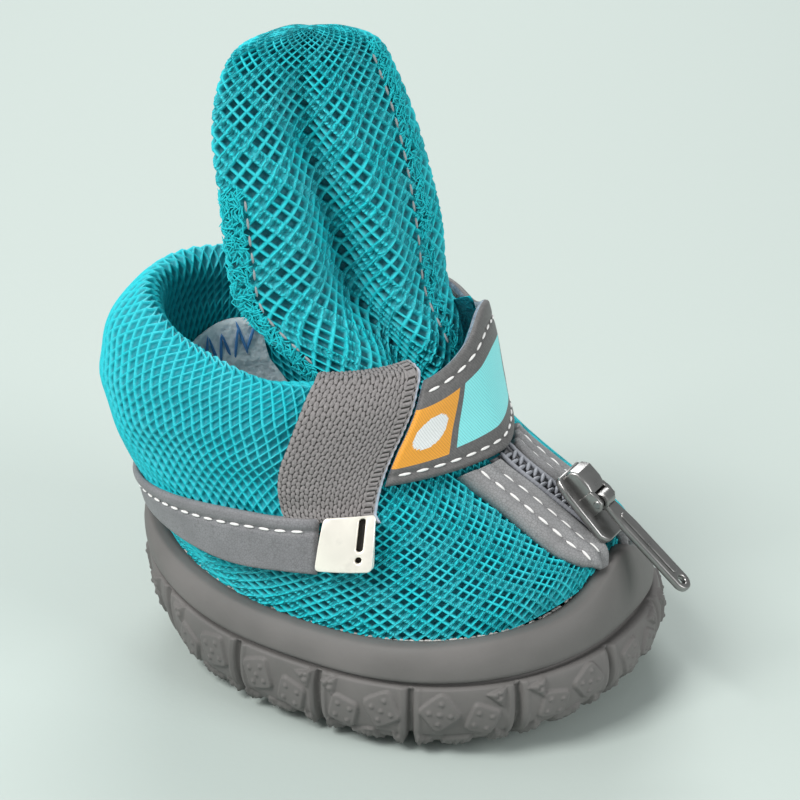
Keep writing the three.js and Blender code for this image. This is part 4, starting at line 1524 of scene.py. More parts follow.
@dataclass
class Tongue:
    """The tall padded tongue: knit faces, a valley down the front, and raw sides with a seam."""

    valley_near: float = 0.14
    valley_far: float = 0.045
    net: Net = Net(Weave.CLUSTER, 32, 35, ridge=0.18, depth=0.85, rim=0.74, floor=0.56, closed=True)
    rows: Table = field(
        default_factory=lambda: Table(
            "z near_x near_y far_x far_y bow crease thick fold",
            [
                (30, 4.0, -8.0, 12.0, 4.0, 0.6, 1.0, 3.4, 0.64),
                (42, -1.0, -12.0, 9.4, 6.0, 1.8, 3.6, 4.4, 0.62),
                (49, -8.0, -14.0, 7.4, 8.3, 2.8, 5.2, 5.0, 0.59),
                (56, -16.4, -15.0, 3.2, 11.2, 3.6, 6.2, 5.4, 0.56),
                (64, -18.2, -15.2, 1.2, 13.0, 3.8, 6.2, 5.4, 0.52),
                (72, -19.2, -14.8, -1.0, 13.0, 3.6, 5.2, 5.4, 0.48),
                (80, -21.0, -13.4, -2.8, 11.6, 3.2, 3.6, 5.2, 0.45),
                (87, -21.0, -11.6, -4.2, 9.0, 2.4, 1.8, 4.8, 0.43),
                (92, -19.6, -8.6, -5.4, 6.0, 1.6, 0.4, 3.6, 0.43),
                (94.3, -15.6, -4.6, -8.6, 1.8, 0.6, 0.0, 1.8, 0.43),
                (94.6, -13.0, -2.8, -11.4, -0.8, 0.2, 0.0, 0.6, 0.43),
            ],
        )
    )
    evened: tuple[Array, Array] | None = None

    def base(self, u: Array, row: Array) -> Array:
        """The tongue's plain form.

        Args:
            u: Shares round its section, from the near edge.
            row: Rows up it.

        Returns:
            Points.
        """
        at = self.rows.at(row)
        t = 0.5 - 0.5 * np.cos(2 * math.pi * np.mod(u, 1.0))
        t = mix(t, np.abs(1 - np.abs(1 - 2 * np.mod(u, 1.0))), 0.45)
        side = np.where(np.mod(u, 1.0) < 0.5, 1.0, -1.0)
        near = np.stack([at["near_x"], at["near_y"]], axis=-1)
        far = np.stack([at["far_x"], at["far_y"]], axis=-1)
        chord = unit(far - near)
        ahead = np.stack([chord[..., 1], -chord[..., 0]], axis=-1)
        wide = np.where(t < at["fold"], self.valley_near, self.valley_far)
        valley = np.exp(-(((t - at["fold"]) / wide) ** 2))
        pad = at["thick"] / 2 * np.sqrt(np.clip(1 - (2 * t - 1) ** 4, 0, 1))
        overhang = 0.3 * np.exp(-(((t - at["fold"] - 0.15) / 0.1) ** 2))
        crease = 1.1 * at["crease"] * (np.where(side > 0, 1.0, 0.72) * valley - overhang)
        out = at["bow"] * np.sin(math.pi * t) - crease + side * pad
        xy = near + (far - near) * t[..., None] + ahead * out[..., None]
        return np.concatenate([xy, at["z"][..., None]], axis=-1)

    def even(self, u: Array, row: Array) -> Array:
        """Spreads the cloth evenly round the section, down into the valley and out again.

        Args:
            u: Shares of the way round the section.
            row: Rows of the table.

        Returns:
            The numbers that base() takes for those shares.
        """
        if self.evened is None:
            round_, up = np.meshgrid(np.linspace(0, 1, 361), np.linspace(0, self.rows.last, 41), indexing="xy")
            step = np.linalg.norm(np.diff(self.base(round_, up), axis=1), axis=2)
            run = np.concatenate([np.zeros((41, 1)), np.cumsum(step, axis=1)], axis=1)
            run /= run[:, -1:]
            table = np.array([np.interp(round_[0], line, round_[0]) for line in run])
            self.evened = (round_[0], table)
        table = self.evened[1]
        turn = np.floor(u)
        x = (u - turn) * 360
        y = np.clip(row / self.rows.last, 0, 1) * 40
        i, j = np.clip(x.astype(int), 0, 359), np.clip(y.astype(int), 0, 39)
        fx, fy = x - i, y - j
        low = mix(table[j, i], table[j, i + 1], fx)
        high = mix(table[j + 1, i], table[j + 1, i + 1], fx)
        return turn + mix(low, high, fy)

    def place(self, u: Array, v: Array, out: Array) -> Array:
        """The tongue's cloth.

        Args:
            u: Shares round it.
            v: Shares up it.
            out: Distance off it.

        Returns:
            Points.
        """
        row = v * self.rows.last
        u = self.even(np.asarray(u, float), row)
        flat = lambda a, b, _: self.base(a, b)
        normal = normals_of(flat, u, np.clip(row, 0.1, self.rows.last - 0.3), 0.006, 0.04)
        pucker = 0.2 * np.sin(17 * v + 1.0) * np.sin(4 * math.pi * u)
        return self.base(u, row) + normal * (out + pucker)[..., None]

    def build(self) -> None:
        """Builds the tongue and the seams along its sides."""
        surface = Surface()
        self.net.lay(surface, self.place)
        u = np.linspace(0, 1, 96, endpoint=False)
        for v, order in ((0.0, -1), (1.0, 1)):
            ring = self.place(u, np.full(96, v), np.full(96, 0.1))
            middle = np.broadcast_to(ring.mean(axis=0) + [0, 0, 0.1 * order], ring.shape)
            rings = [ring, mix(ring, middle, 0.5) + [0, 0, 0.1 * order], mix(ring, middle, 0.99)]
            # pit 0.4 gives the caps part of the knit's painted shade.
            surface.grid(np.stack(rings, axis=1)[::order], closed_u=True, pit=0.4, rib=1.0)
        tongue = surface.make("tongue_look", [TEAL.material(), LINING.material()])
        finished(tongue, Body.BOOT, ("tongue",))
        self.seams()

    def seams(self) -> None:
        """Sews the sides, and leaves the cloth's cut edge fraying outside the thread."""
        lines, points, ways, outs = [], [], [], []
        for u0, edge, low, high in ((0.44, 0.475, 0.2, 0.78), (0.05, 0.01, 0.2, 0.5)):
            v = np.linspace(low, high, 90)
            path = self.place(np.full(90, u0), v, np.full(90, 0.25))
            inside = self.place(np.full(90, u0), v, np.full(90, -0.75))
            lines.append((path, unit(path - inside)))
            count = 460
            k = np.arange(count)
            r = [speckle(seed, k, np.full(count, u0)) for seed in range(21, 27)]
            u = mix(u0, edge, 0.15 + 0.95 * r[0])
            at = mix(low - 0.03, high + 0.02, r[1])
            foot = self.place(u, at, 0.1 + 0.5 * r[2])
            above = self.place(u, at, 1.1 + 0.5 * r[2])
            points.append(foot)
            outs.append(unit(above - foot))
            ways.append(unit(np.stack([r[3] - 0.5, r[4] - 0.5, 1.1 * (r[5] - 0.5)], axis=-1)))
        seams = sew("tongue_stitches", lines, DARK_THREAD, Bead(1.7, 0.4, 0.36), 2.5)
        finished(seams, Body.BOOT, ())
        frayed = Bead(1.5, 0.2, 0.16)
        fray = frayed.lay("tongue_fray", *map(np.concatenate, (points, ways, outs)), FRAY)
        finished(fray, Body.BOOT, ())


# ---- bands


def leaned(points: Array, lean: float) -> Array:
    """Turns points about the second axis.

    Args:
        points: Points, millimetres.
        lean: The angle that the first axis dips by.

    Returns:
        The turned points.
    """
    c, s = math.cos(lean), math.sin(lean)
    x, y, z = (points[..., k] for k in range(3))
    return np.stack([c * x + s * z, y, -s * x + c * z], axis=-1)


def rounded_box(long: float, wide: float, radius: float) -> list[tuple[float, float]]:
    """A box with round corners, its first corner at the origin.

    Args:
        long: Its length.
        wide: Its width.
        radius: Its corners' radius.

    Returns:
        The outline.
    """
    corners = [(long - radius, radius, -90), (long - radius, wide - radius, 0), (radius, wide - radius, 90),
               (radius, radius, 180)]
    turns = [(x, y, math.radians(a + t)) for x, y, a in corners for t in (0, 22.5, 45, 67.5, 90)]
    return [(x + radius * math.cos(t), y + radius * math.sin(t)) for x, y, t in turns]


def plate(
    outline: list[tuple[float, float]], holes: list[list[tuple[float, float]]], thick: float, bevel: float,
    cell: float = 0.0,
) -> tuple[Array, list[list[int]]]:
    """A flat plate with holes and soft edges.

    Args:
        outline: Its outer edge.
        holes: The edges of its holes.
        thick: Its thickness; the plate lies evenly about height 0.
        bevel: The softening of its edges.
        cell: The longest edge left on its faces, so that it can be bent; 0 leaves them.

    Returns:
        Points and faces.
    """
    bm = bmesh.new()
    for loop in [outline] + holes:
        points = [bm.verts.new((x, y, -thick / 2)) for x, y in loop]
        for a, b in zip(points, points[1:] + points[:1]):
            bm.edges.new((a, b))
    bmesh.ops.triangle_fill(bm, use_beauty=True, use_dissolve=not holes, edges=bm.edges[:])
    raised = bmesh.ops.extrude_face_region(bm, geom=bm.faces[:], use_keep_orig=True)["geom"]
    bmesh.ops.translate(bm, vec=(0, 0, thick), verts=[g for g in raised if isinstance(g, bmesh.types.BMVert)])
    bmesh.ops.recalc_face_normals(bm, faces=bm.faces)
    if bevel:
        rim = [e for e in bm.edges if len(e.link_faces) == 2 and e.calc_face_angle() > 1.2
               and abs(e.verts[0].co.z - e.verts[1].co.z) < 1e-6]
        bmesh.ops.bevel(bm, geom=rim, offset=bevel, segments=3, profile=0.5, affect="EDGES")
    while cell:
        long = [e for e in bm.edges if e.calc_length() > cell]
        if not long:
            break
        bmesh.ops.subdivide_edges(bm, edges=long, cuts=1)
        bmesh.ops.triangulate(bm, faces=[f for f in bm.faces if len(f.verts) > 3])
        cell = cell if len(bm.faces) < 6000 else 0
    bm.verts.index_update()
    made = np.array([v.co[:] for v in bm.verts]), [[v.index for v in f.verts] for f in bm.faces]
    bm.free()
    return made


def rod(radius: float, half: float, centre: tuple[float, float], soft: float = 0.15) -> Array:
    """A round bar along the second axis, its ends closed.

    Args:
        radius: Its radius.
        half: Half its length.
        centre: Its place on the other two axes.
        soft: Its ends' softening.

    Returns:
        Rings of points.
    """
    angle = circle(28)
    rings = []
    for r, y in ((0.01, -half), (radius - soft, -half), (radius, -half + soft), (radius, half - soft),
                 (radius - soft, half), (0.01, half)):
        x = centre[0] + r * np.cos(angle)
        z = centre[1] + r * np.sin(angle)
        rings.append(np.stack([x, np.full(28, y), z], axis=-1))
    return np.array(rings).transpose(1, 0, 2)


def ribbon(
    surface: Surface,
    place: Place,
    along: int,
    across: int,
    stand: float,
    thick: float,
    size: tuple[float, float],
    inner_slot: int = 0,
    relief: Callable[[Array, Array], dict[str, Array]] | None = None,
) -> None:
    """Adds a flat band with soft edges.

    Args:
        surface: Where it goes.
        place: The band's middle sheet: a share along, a share across and a distance off it.
        along: Points along the band.
        across: Points across it.
        stand: How far its inner face stands off.
        thick: Its thickness.
        size: Its length and width, millimetres, for its cloth's map.
        inner_slot: The material's number for its inner face.
        relief: Gives the outer face's height and other numbers, from the two shares.
    """
    s = np.linspace(0, 1, along)
    w = np.linspace(0, 1, across)
    a, b = np.meshgrid(s, w, indexing="ij")
    rim = np.minimum(np.minimum(b, 1 - b) * size[1], np.minimum(a, 1 - a) * size[0])
    soft = 0.45 * thick * (1 - np.sqrt(np.clip(1 - (1 - np.clip(rim / (0.6 * thick), 0, 1)) ** 2, 0, 1)))
    given = relief(a, b) if relief else {}
    extra = given.pop("height", 0.0)
    uv = np.stack([a * size[0], b * size[1]], axis=-1)
    outer = place(a, b, stand + thick - soft + extra)
    inner = place(a, b, stand + soft * 0.6)
    surface.grid(outer, uv=uv, **given)
    surface.grid(inner[:, ::-1], uv=uv[:, ::-1], slot=inner_slot)
    for edge in (
        np.stack([outer[:, 0], inner[:, 0]], axis=1)[:, ::-1],
        np.stack([outer[:, -1], inner[:, -1]], axis=1),
        np.stack([outer[0], inner[0]], axis=1),
        np.stack([outer[-1], inner[-1]], axis=1)[:, ::-1],
    ):
        surface.grid(edge, slot=inner_slot)


@dataclass
class SideStrip:
    """The leatherette band round the heel, its seam near the top and its lower edge loose."""

    skin: Skin
    reach: float = 1.8
    lean: float = 0.16
    stand: float = 0.35
    thick: float = 1.0
    rows: Table = field(
        default_factory=lambda: Table("low high", [(1.9, 3.1), (1.95, 3.15), (1.95, 3.2), (2.2, 3.35)])
    )

    def place(self, s: Array, w: Array, out: Array) -> Array:
        """The strip's surface.

        Args:
            s: Shares along it.
            w: Shares across it.
            out: Distance off it.

        Returns:
            Points.
        """
        turn = mix(-self.reach, self.reach, s)
        row = self.rows.at(self.rows.last * np.abs(turn) / self.reach)
        angle = math.pi + turn + self.lean * np.sin(turn) * (w - 0.5)
        ripple = 0.22 * np.sin(turn * 5.0 + 1) * (1 - w) + 0.35 * (1 - w) ** 2
        return self.skin.point(angle, mix(row["low"], row["high"], w), out + ripple)

    def build(self) -> None:
        """Builds the strip and its stitches."""
        surface = Surface()
        bump = lambda w, at, wide: np.exp(-(((w - at) / wide) ** 2))
        dent = lambda _, w: {"height": -0.3 * bump(w, 0.72, 0.05) + 0.12 * bump(w, 0.86, 0.08)}
        ribbon(surface, self.place, 240, 36, self.stand, self.thick, (118.0, 9.5), relief=dent)
        strip = surface.make("side_strip_look", [HIDE_STRIP.material()])
        finished(strip, Body.BOOT, ("side_strip",))
        s = np.linspace(0.01, 0.99, 240)
        at = lambda off: self.place(s, np.full(240, 0.72), np.full(240, self.stand + self.thick + off))
        path = at(-0.12)
        seam = sew("strip_stitches", [(path, unit(at(1.0) - path))], THREAD, Bead(1.9, 0.42, 0.4), 2.6)
        finished(seam, Body.BOOT, ())


@dataclass
class StripTip:
    """The folded metal tip on the strip's near end, with a slot and a small hole."""

    strip: SideStrip
    turn: float = 1.83
    reach: float = 0.27
    stand: float = 0.5
    thick: float = 2.5
    low: float = 2.35
    high: float = 3.35

    def place(self, s: Array, w: Array, out: Array) -> Array:
        """The tip's surface.

        Args:
            s: Shares along it.
            w: Shares across it.
            out: Distance off it.

        Returns:
            Points.
        """
        turn = self.turn + self.reach * s
        angle = math.pi + turn + self.strip.lean * np.sin(turn) * (w - 0.5)
        return self.strip.skin.point(angle, mix(self.low, self.high, w), out)

    def build(self) -> None:
        """Builds the tip."""
        size = (8.6, 7.6)
        outline = rounded_box(size[0], size[1], 0.7)
        slot = [(6.4 + 0.55 * math.cos(t), 4.9 + 1.9 * (1 if math.sin(t) >= 0 else -1) + 0.4 * math.sin(t))
                for t in circle(24)]
        hole = [(6.4 + 0.5 * math.cos(t), 1.55 + 0.4 * math.sin(t)) for t in circle(18)]
        surface = Surface()
        inner = [(0.3 + x * 0.93, 0.3 + y * 0.92) for x, y in outline]
        # Layer 1, the middle plate, takes the near-black SHADE finish: painted shade in the tip's hollow, seen
        # through the slot, the hole and the gap round its edge.
        for shape, holes, low, high, layer in (
            (outline, [slot, hole], 1.5, self.thick, 0), (inner, [], 0.7, 1.45, 1), (outline, [], 0.0, 0.7, 0)
        ):
            points, faces = plate(shape, holes, high - low, 0.22, cell=0.9)
            mid = self.stand + (low + high) / 2
            placed = self.place(points[:, 0] / size[0], points[:, 1] / size[1], points[:, 2] + mid)
            surface.mixed(placed, faces, layer)
        tip = surface.make("strip_tip_look", [NICKEL.material(), SHADE.material()])
        tip.data.set_sharp_from_angle(angle=math.radians(40))
        finished(tip, Body.BOOT, ("strip_tip",))


@dataclass
class Webbing:
    """The woven tab up the near side and over the rim."""

    collar: Collar
    foot: float = 3.4
    stand: float = 0.6
    thick: float = 1.1
    first_row: float = 0.4
    last_row: float = 8.9
    low: tuple[float, float] = (-1.46, -0.96)
    high: tuple[float, float] = (-1.2, -0.36)

    def edges(self, level: Array) -> tuple[Array, Array]:
        """Returns the angles of the rear and front edges at a level."""
        share = np.clip((level - self.foot) / (7 - self.foot), 0, 1)
        return mix(self.low[0], self.high[0], share), mix(self.low[1], self.high[1], share)

    def base(self, row: Array, w: Array) -> Array:
        """The form under the webbing.

        Args:
            row: Rows along the collar's section.
            w: Shares across it.

        Returns:
            Points.
        """
        at = self.collar.rows.at(row)
        rear, front = self.edges(at["level"])
        point = self.collar.skin.point(mix(rear, front, w), at["level"], -at["deep"])
        point[..., 2] += at["lift"]
        return point

    def place(self, s: Array, w: Array, out: Array) -> Array:
        """The webbing's surface.

        Args:
            s: Shares up it.
            w: Shares across, from the rear edge.
            out: Distance off it.

        Returns:
            Points.
        """
        rows = np.linspace(self.first_row, self.last_row, 90)
        path = self.base(rows, np.full(90, 0.5))
        run = np.concatenate([[0.0], np.cumsum(np.linalg.norm(np.diff(path, axis=0), axis=1))])
        row = np.interp(s, run / run[-1], rows)
        flat = lambda a, b, _: self.base(a, b)
        normal = -normals_of(flat, row, w, 0.08, 0.01)
        ease = 0.12 * np.sin(3 * w + 5 * s) + 0.15 * np.sin(math.pi * np.clip(s * 1.6, 0, 1)) * (w - 0.3)
        tucked = 0.7 * (1 - smooth((s - 0.05) / 0.12))
        return self.base(row, w) + normal * (out + ease - tucked)[..., None]

    def weave(self, s: Array, w: Array) -> dict[str, Array]:
        """The weave.

        Args:
            s: Shares up it.
            w: Shares across it.

        Returns:
            Its height, gaps and edge thread.
        """
        long = s * 33.0
        wide = w * 16.5
        column = np.floor(wide / 0.68)
        fu = wide / 0.68 - column
        up = long / 1.25 + 0.5 * np.mod(column, 2) + 0.2 * speckle(31, column)
        fv = up - np.floor(up)
        slant = 0.3 * (fv - 0.5) * np.where(np.mod(column, 2) > 0, 1.0, -1.0)
        far = ((fu - 0.5 - slant) / 0.5) ** 2 + np.abs((fv - 0.5) / 0.53) ** 3
        ladder = smooth((w - 0.85) / 0.02) * smooth((0.94 - w) / 0.01)
        rung = long / 0.8
        fr = rung - np.floor(rung)
        across = np.abs(fr - 0.5) / 0.5
        far = mix(far, across**2 * 1.7, ladder)
        height = 0.16 * np.clip(1 - far, -1.2, 1)
        edge = smooth((w - 0.965) / 0.01)
        height = mix(height, 0.12 * np.cos(long * 5.5), edge)
        # pit marks the low gaps, which the tape's finish darkens as painted shade.
        return {"height": height, "pit": np.clip(2.4 * (far - 0.55), 0, 1) * (1 - edge), "rib": edge}

    def build(self) -> None:
        """Builds the webbing."""
        surface = Surface()
        ribbon(surface, self.place, 230, 132, self.stand, self.thick, (33.0, 16.5), relief=self.weave)
        tab = surface.make("webbing_look", [TAPE.material()])
        finished(tab, Body.BOOT, ("webbing",))


@dataclass
class Strap:
    """The ankle strap: reflective cloth with printed fields outside, brushed pile inside."""

    skin: Skin
    webbing: Webbing
    low: float = 4.05
    high: float = 6.75
    far: float = 1.75
    stand: float = 0.7
    thick: float = 1.3
    size: tuple[float, float] = (58.0, 17.0)

    def place(self, s: Array, w: Array, out: Array) -> Array:
        """The strap's surface.

        Args:
            s: Shares along it, from the webbing.
            w: Shares up it.
            out: Distance off the skin.

        Returns:
            Points.
        """
        level = mix(self.low, self.high, w)
        start = self.webbing.edges(level)[1] + 0.02
        angle = mix(start, self.far, s)
        wave = 0.25 * np.sin(s * 11 + 1.5) * np.sin(math.pi * w) + 0.35 * w**3 * np.sin(s * 17)
        return self.skin.point(angle, level, out + wave)

    def prints(self, s: Array, w: Array) -> dict[str, Array]:
        """The printed fields and the seams' dents.

        Args:
            s: Shares along it.
            w: Shares up it.

        Returns:
            The fields, and the height of the cloth.
        """
        x = s * self.size[0]
        inside = lambda lo, hi, v: ((v > lo) & (v < hi)).astype(float)
        square = inside(-1, 8.4, x) * inside(0.17, 0.7, w)
        bar = inside(9.6, 27.0, x) * inside(0.2, 0.7, w)
        y = (w - 0.44) * self.size[1]
        mark = (np.hypot((x - 4.3) / 2.9, y / 2.4) < 1).astype(float)
        seams = np.exp(-(((w - 0.1) / 0.025) ** 2)) + np.exp(-(((w - 0.84) / 0.025) ** 2))
        return {"height": -0.2 * seams, "square": square, "bar": bar, "mark": mark * square}

    def build(self) -> None:
        """Builds the strap and its two seams."""
        surface = Surface()
        sizes = (self.stand, self.thick, self.size)
        ribbon(surface, self.place, 250, 66, *sizes, inner_slot=1, relief=self.prints)
        strap = surface.make("strap_look", [STRAP_CLOTH.material(), FLEECE.material()])
        finished(strap, Body.BOOT, ("strap",))
        s = np.linspace(0.015, 0.985, 240)
        lines = []
        for w in (0.1, 0.84):
            at = lambda off, w=w: self.place(s, np.full(240, w), np.full(240, self.stand + self.thick + off))
            path = at(-0.08)
            lines.append((path, unit(at(1.0) - path)))
        seams = sew("strap_stitches", lines, THREAD, Bead(2.0, 0.42, 0.38), 2.7)
        finished(seams, Body.BOOT, ())


# ---- zip


@dataclass
class Facings:
    """The two leatherette facings of the throat, each rolled over the zip's edge."""

    skin: Skin
    stand: float = 0.55
    roll: float = 0.35
    roll_wide: float = 1.6
    rows: Table = field(
        default_factory=lambda: Table(
            "level inner outer top",
            [
                (0.95, 2.6, 5.2, 0.9), (1.25, 2.4, 7.8, 1.1), (1.6, 2.3, 8.8, 1.2), (2.2, 2.3, 9.4, 1.3),
                (3.0, 2.4, 9.2, 1.7), (3.9, 2.8, 9.4, 1.8),
            ],
        )
    )

    def section(self, s: Array, w: Array) -> tuple[Array, Array, Array]:
        """The outer face.

        Args:
            s: Shares along it.
            w: Shares across it.

        Returns:
            Level, distance from the zip, and height.
        """
        row = self.rows.at(self.rows.last * s)
        d = mix(row["inner"], row["outer"], w) - row["inner"]
        wide = row["outer"] - row["inner"]
        swell = 0.55 * self.roll * (1 + np.cos(2 * math.pi * np.clip(d / self.roll_wide - 0.5, -0.5, 0.5)))
        dip = -0.5 * np.exp(-(((d - 2.0) / 0.34) ** 2)) - 0.36 * np.exp(-(((d - 4.5) / 0.32) ** 2))
        puff = 0.45 * np.exp(-(((d - 3.2) / 0.8) ** 2)) + 0.4 * np.exp(-(((wide - d - 1.1) / 1.0) ** 2))
        edge = np.minimum(d, wide - d)
        fall = 0.7 * (1 - np.sqrt(np.clip(1 - (1 - np.clip(edge / 0.7, 0, 1)) ** 2, 0, 1)))
        return row["level"], row["inner"] + d, row["top"] + swell + dip + puff * 0.8 - fall

    def build(self) -> None:
        """Builds both facings, their seams and their edges."""
        lines = []
        for side, name in ((1, "left_facing"), (-1, "right_facing")):
            node = next(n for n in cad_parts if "facing" in n and (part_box(n)[1][1] > 0.004) == (side > 0))
            surface = Surface()
            columns, rows = 90, 56
            s, w = np.meshgrid(np.linspace(0, 1, columns), np.linspace(0, 1, rows), indexing="ij")
            level, far, out = self.section(s, w)
            round_end = np.sqrt(np.clip(1 - (2 * w - 1) ** 4, 0, 1))
            level = level + 0.12 * (1 - round_end) * np.clip(1 - s * 6, 0, 1)
            outer = self.skin.across(level, side * far, out)
            inner = self.skin.across(level, side * far, np.full_like(out, self.stand - 0.5))
            flip = slice(None, None, -side)
            surface.grid(outer[:, flip])
            surface.grid(inner[:, :: side])
            for edge, order in (
                (np.stack([outer[:, 0], inner[:, 0]], axis=1), -side),
                (np.stack([outer[:, -1], inner[:, -1]], axis=1), side),
                (np.stack([outer[0], inner[0]], axis=1), side),
                (np.stack([outer[-1], inner[-1]], axis=1), -side),
            ):
                surface.grid(edge[:, ::order])
            facing = surface.make(name + "_look", [HIDE.material()], merge=0.02, outward=True)
            finished(facing, Body.BOOT, (node,))
            for d in (2.0, 4.5):
                at = np.linspace(0.19, 0.96, 120)
                wide = self.rows.at(self.rows.last * at)
                share = d / (wide["outer"] - wide["inner"])
                level, far, out = self.section(at, share)
                path = self.skin.across(level, side * far, out + 0.14)
                above = self.skin.across(level, side * far, out + 1.08)
                lines.append((path, unit(above - path)))
        seams = sew("facing_stitches", lines, THREAD, Bead(1.95, 0.52, 0.46), 2.6)
        finished(seams, Body.BOOT, ())


@dataclass
class Zip:
    """The zip's two tapes and its coil, down the middle of the throat."""

    skin: Skin
    low: float = 1.5
    high: float = 3.98
    pitch: float = 0.66

    def build(self) -> None:
        """Builds the tapes and the coil."""
        columns, rows = 110, 15
        s, w = np.meshgrid(np.linspace(0, 1, columns), np.linspace(-1, 1, rows), indexing="ij")
        level = mix(self.low, self.high, s)
        lift = 0.35 + 0.25 * np.exp(-((w / 0.3) ** 2))
        surface = Surface()
        outer = self.skin.across(level, 3.1 * w, lift)
        inner = self.skin.across(level, 3.1 * w, lift - 0.9)
        surface.grid(outer[:, ::-1])
        surface.grid(inner)
        surface.grid(np.stack([outer[:, 0], inner[:, 0]], axis=1))
        surface.grid(np.stack([outer[:, -1], inner[:, -1]], axis=1)[:, ::-1])
        surface.grid(np.stack([outer[0], inner[0]], axis=1)[:, ::-1])
        surface.grid(np.stack([outer[-1], inner[-1]], axis=1))
        tape = surface.make("zip_tape", [TAPE_CLOTH.material()], merge=0.01, outward=True)
        tapes = tuple(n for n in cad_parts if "zip" in n)
        finished(tape, Body.BOOT, tapes)
        line = self.skin.across(np.linspace(self.low, self.high, 200), np.zeros(200), np.full(200, 1.05))
        over = self.skin.across(np.linspace(self.low, self.high, 200), np.zeros(200), np.full(200, 2.05))
        places, along = spaced(line, self.pitch)
        near = np.argmin(np.linalg.norm(line[None] - places[:, None], axis=2), axis=1)
        up = unit(over - line)[near]
        cross = unit(np.cross(up, along))
        wobble = np.where(np.arange(len(places)) % 2, 1.0, -1.0)[:, None]
        both = np.concatenate([places + cross * 0.75 * wobble, places - cross * 1.5, places + cross * 1.5])
        lean = unit(cross + 0.25 * along * wobble)
        ways = np.concatenate([lean, along, along])
        coil = Bead(2.5, 0.66, 0.8).lay("coil", both, ways, np.concatenate([up, up, up]), COIL)
        finished(coil, Body.BOOT, ())


@dataclass(frozen=True)
class Slider:
    """The zip's slider: a plate with turned edges, a bridge, and two ears that hold a pin."""

    origin: tuple[float, float, float] = (33.05, -0.3, 30.6)
    tilt: float = 0.77
    pin_u: float = 0.6
    pin_w: float = 2.7

    def world(self, local: Array) -> Array:
        """Returns points of the slider's own frame in the shared frame, millimetres."""
        return leaned(local, self.tilt) + np.array(self.origin)

    def build(self) -> None:
        """Builds the slider."""
        surface = Surface()
        outline = [(-5.8, -3.0), (-5.2, -3.6), (-3.2, -4.0), (4.4, -4.0), (5.5, -3.2), (5.8, -2.4),
                   (5.8, 2.4), (5.5, 3.2), (4.4, 4.0), (-3.2, 4.0), (-5.2, 3.6), (-5.8, 3.0)]
        points, faces = plate(outline, [], 1.1, 0.35)
        surface.mixed(self.world(points + [0, 0, 0.55]), faces)
        bridge = [(-5.5, 0.4), (-5.5, 2.4), (-4.6, 3.3), (-2.4, 3.4), (-1.0, 3.1), (-0.9, 0.4)]
        points, faces = plate(bridge, [], 4.4, 0.45)
        surface.mixed(self.world(points[:, [0, 2, 1]]), [f[::-1] for f in faces])
        ear = [(-1.5, 0.5), (-1.5, 3.1), (-0.4, 3.4), (0.9, 3.4), (1.55, 2.8), (1.7, 0.5)]
        for side in (-1, 1):
            points, faces = plate(ear, [], 0.85, 0.22)
            surface.mixed(self.world(points[:, [0, 2, 1]] + [0, side * 1.9, 0]), [f[::-1] for f in faces])
        surface.grid(self.world(rod(0.6, 2.45, (self.pin_u, self.pin_w))), closed_u=True)
        slider = surface.make("slider_look", [GUNMETAL.material()], merge=0.003, outward=True)
        slider.data.set_sharp_from_angle(angle=math.radians(35))
        finished(slider, Body.BOOT, ("slider",))


@dataclass(frozen=True)
class PullTab:
    """The pull tab: an eye round the slider's pin and a tapered blade with a rim and a hole."""

    slider: Slider
    extra: float = -0.09
    length: float = 17.4
    root: float = 1.2
    end: float = 1.6
    thick: float = 1.3
    hole: float = 0.65
    eye: float = 1.3
    bore: float = 0.75

    def world(self, local: Array) -> Array:
        """Returns points of the tab's own frame in the shared frame, millimetres."""
        pin = np.array([self.slider.pin_u, 0.0, self.slider.pin_w])
        return self.slider.world(leaned(local, self.extra) + pin)

    def build(self) -> None:
        """Builds the tab."""
        surface = Surface()
        tip = self.length - self.end
        arc = [(tip + self.end * math.cos(t), self.end * math.sin(t)) for t in np.linspace(-1.571, 1.571, 15)]
        outline = [(1.15, -self.root), (self.length * 0.3, -self.end), *arc]
        outline += [(self.length * 0.3, self.end), (1.15, self.root)]
        ring = [(tip + self.hole * math.cos(t), self.hole * math.sin(t)) for t in circle(18)]
        points, faces = plate(outline, [ring], self.thick * 0.8, 0.3)
        surface.mixed(self.world(points), faces)
        raised = [(x + 3.2, y - 0.62) for x, y in rounded_box(tip - 4.6, 1.24, 0.5)]
        points, faces = plate(raised, [], 0.35, 0.12)
        for side in (-1, 1):
            placed = self.world(points * [1, 1, side] + [0, 0, side * self.thick * 0.42])
            surface.mixed(placed, faces if side > 0 else [f[::-1] for f in faces])
        angle = circle(30)
        rings = []
        for r, y in ((self.eye - 0.2, -self.root), (self.eye, -self.root + 0.2), (self.eye, self.root - 0.2),
                     (self.eye - 0.2, self.root), (self.bore, self.root), (self.bore, -self.root)):
            rings.append(np.stack([r * np.cos(angle), np.full(30, y), r * np.sin(angle)], axis=-1))
        surface.grid(self.world(np.array(rings).transpose(1, 0, 2)), closed_u=True, closed_v=True)
        tab = surface.make("pull_tab_look", [GUNMETAL.material()], merge=0.003, outward=True)
        tab.data.set_sharp_from_angle(angle=math.radians(35))
        finished(tab, Body.TAB, ("pull_tab",))


# ---- studio


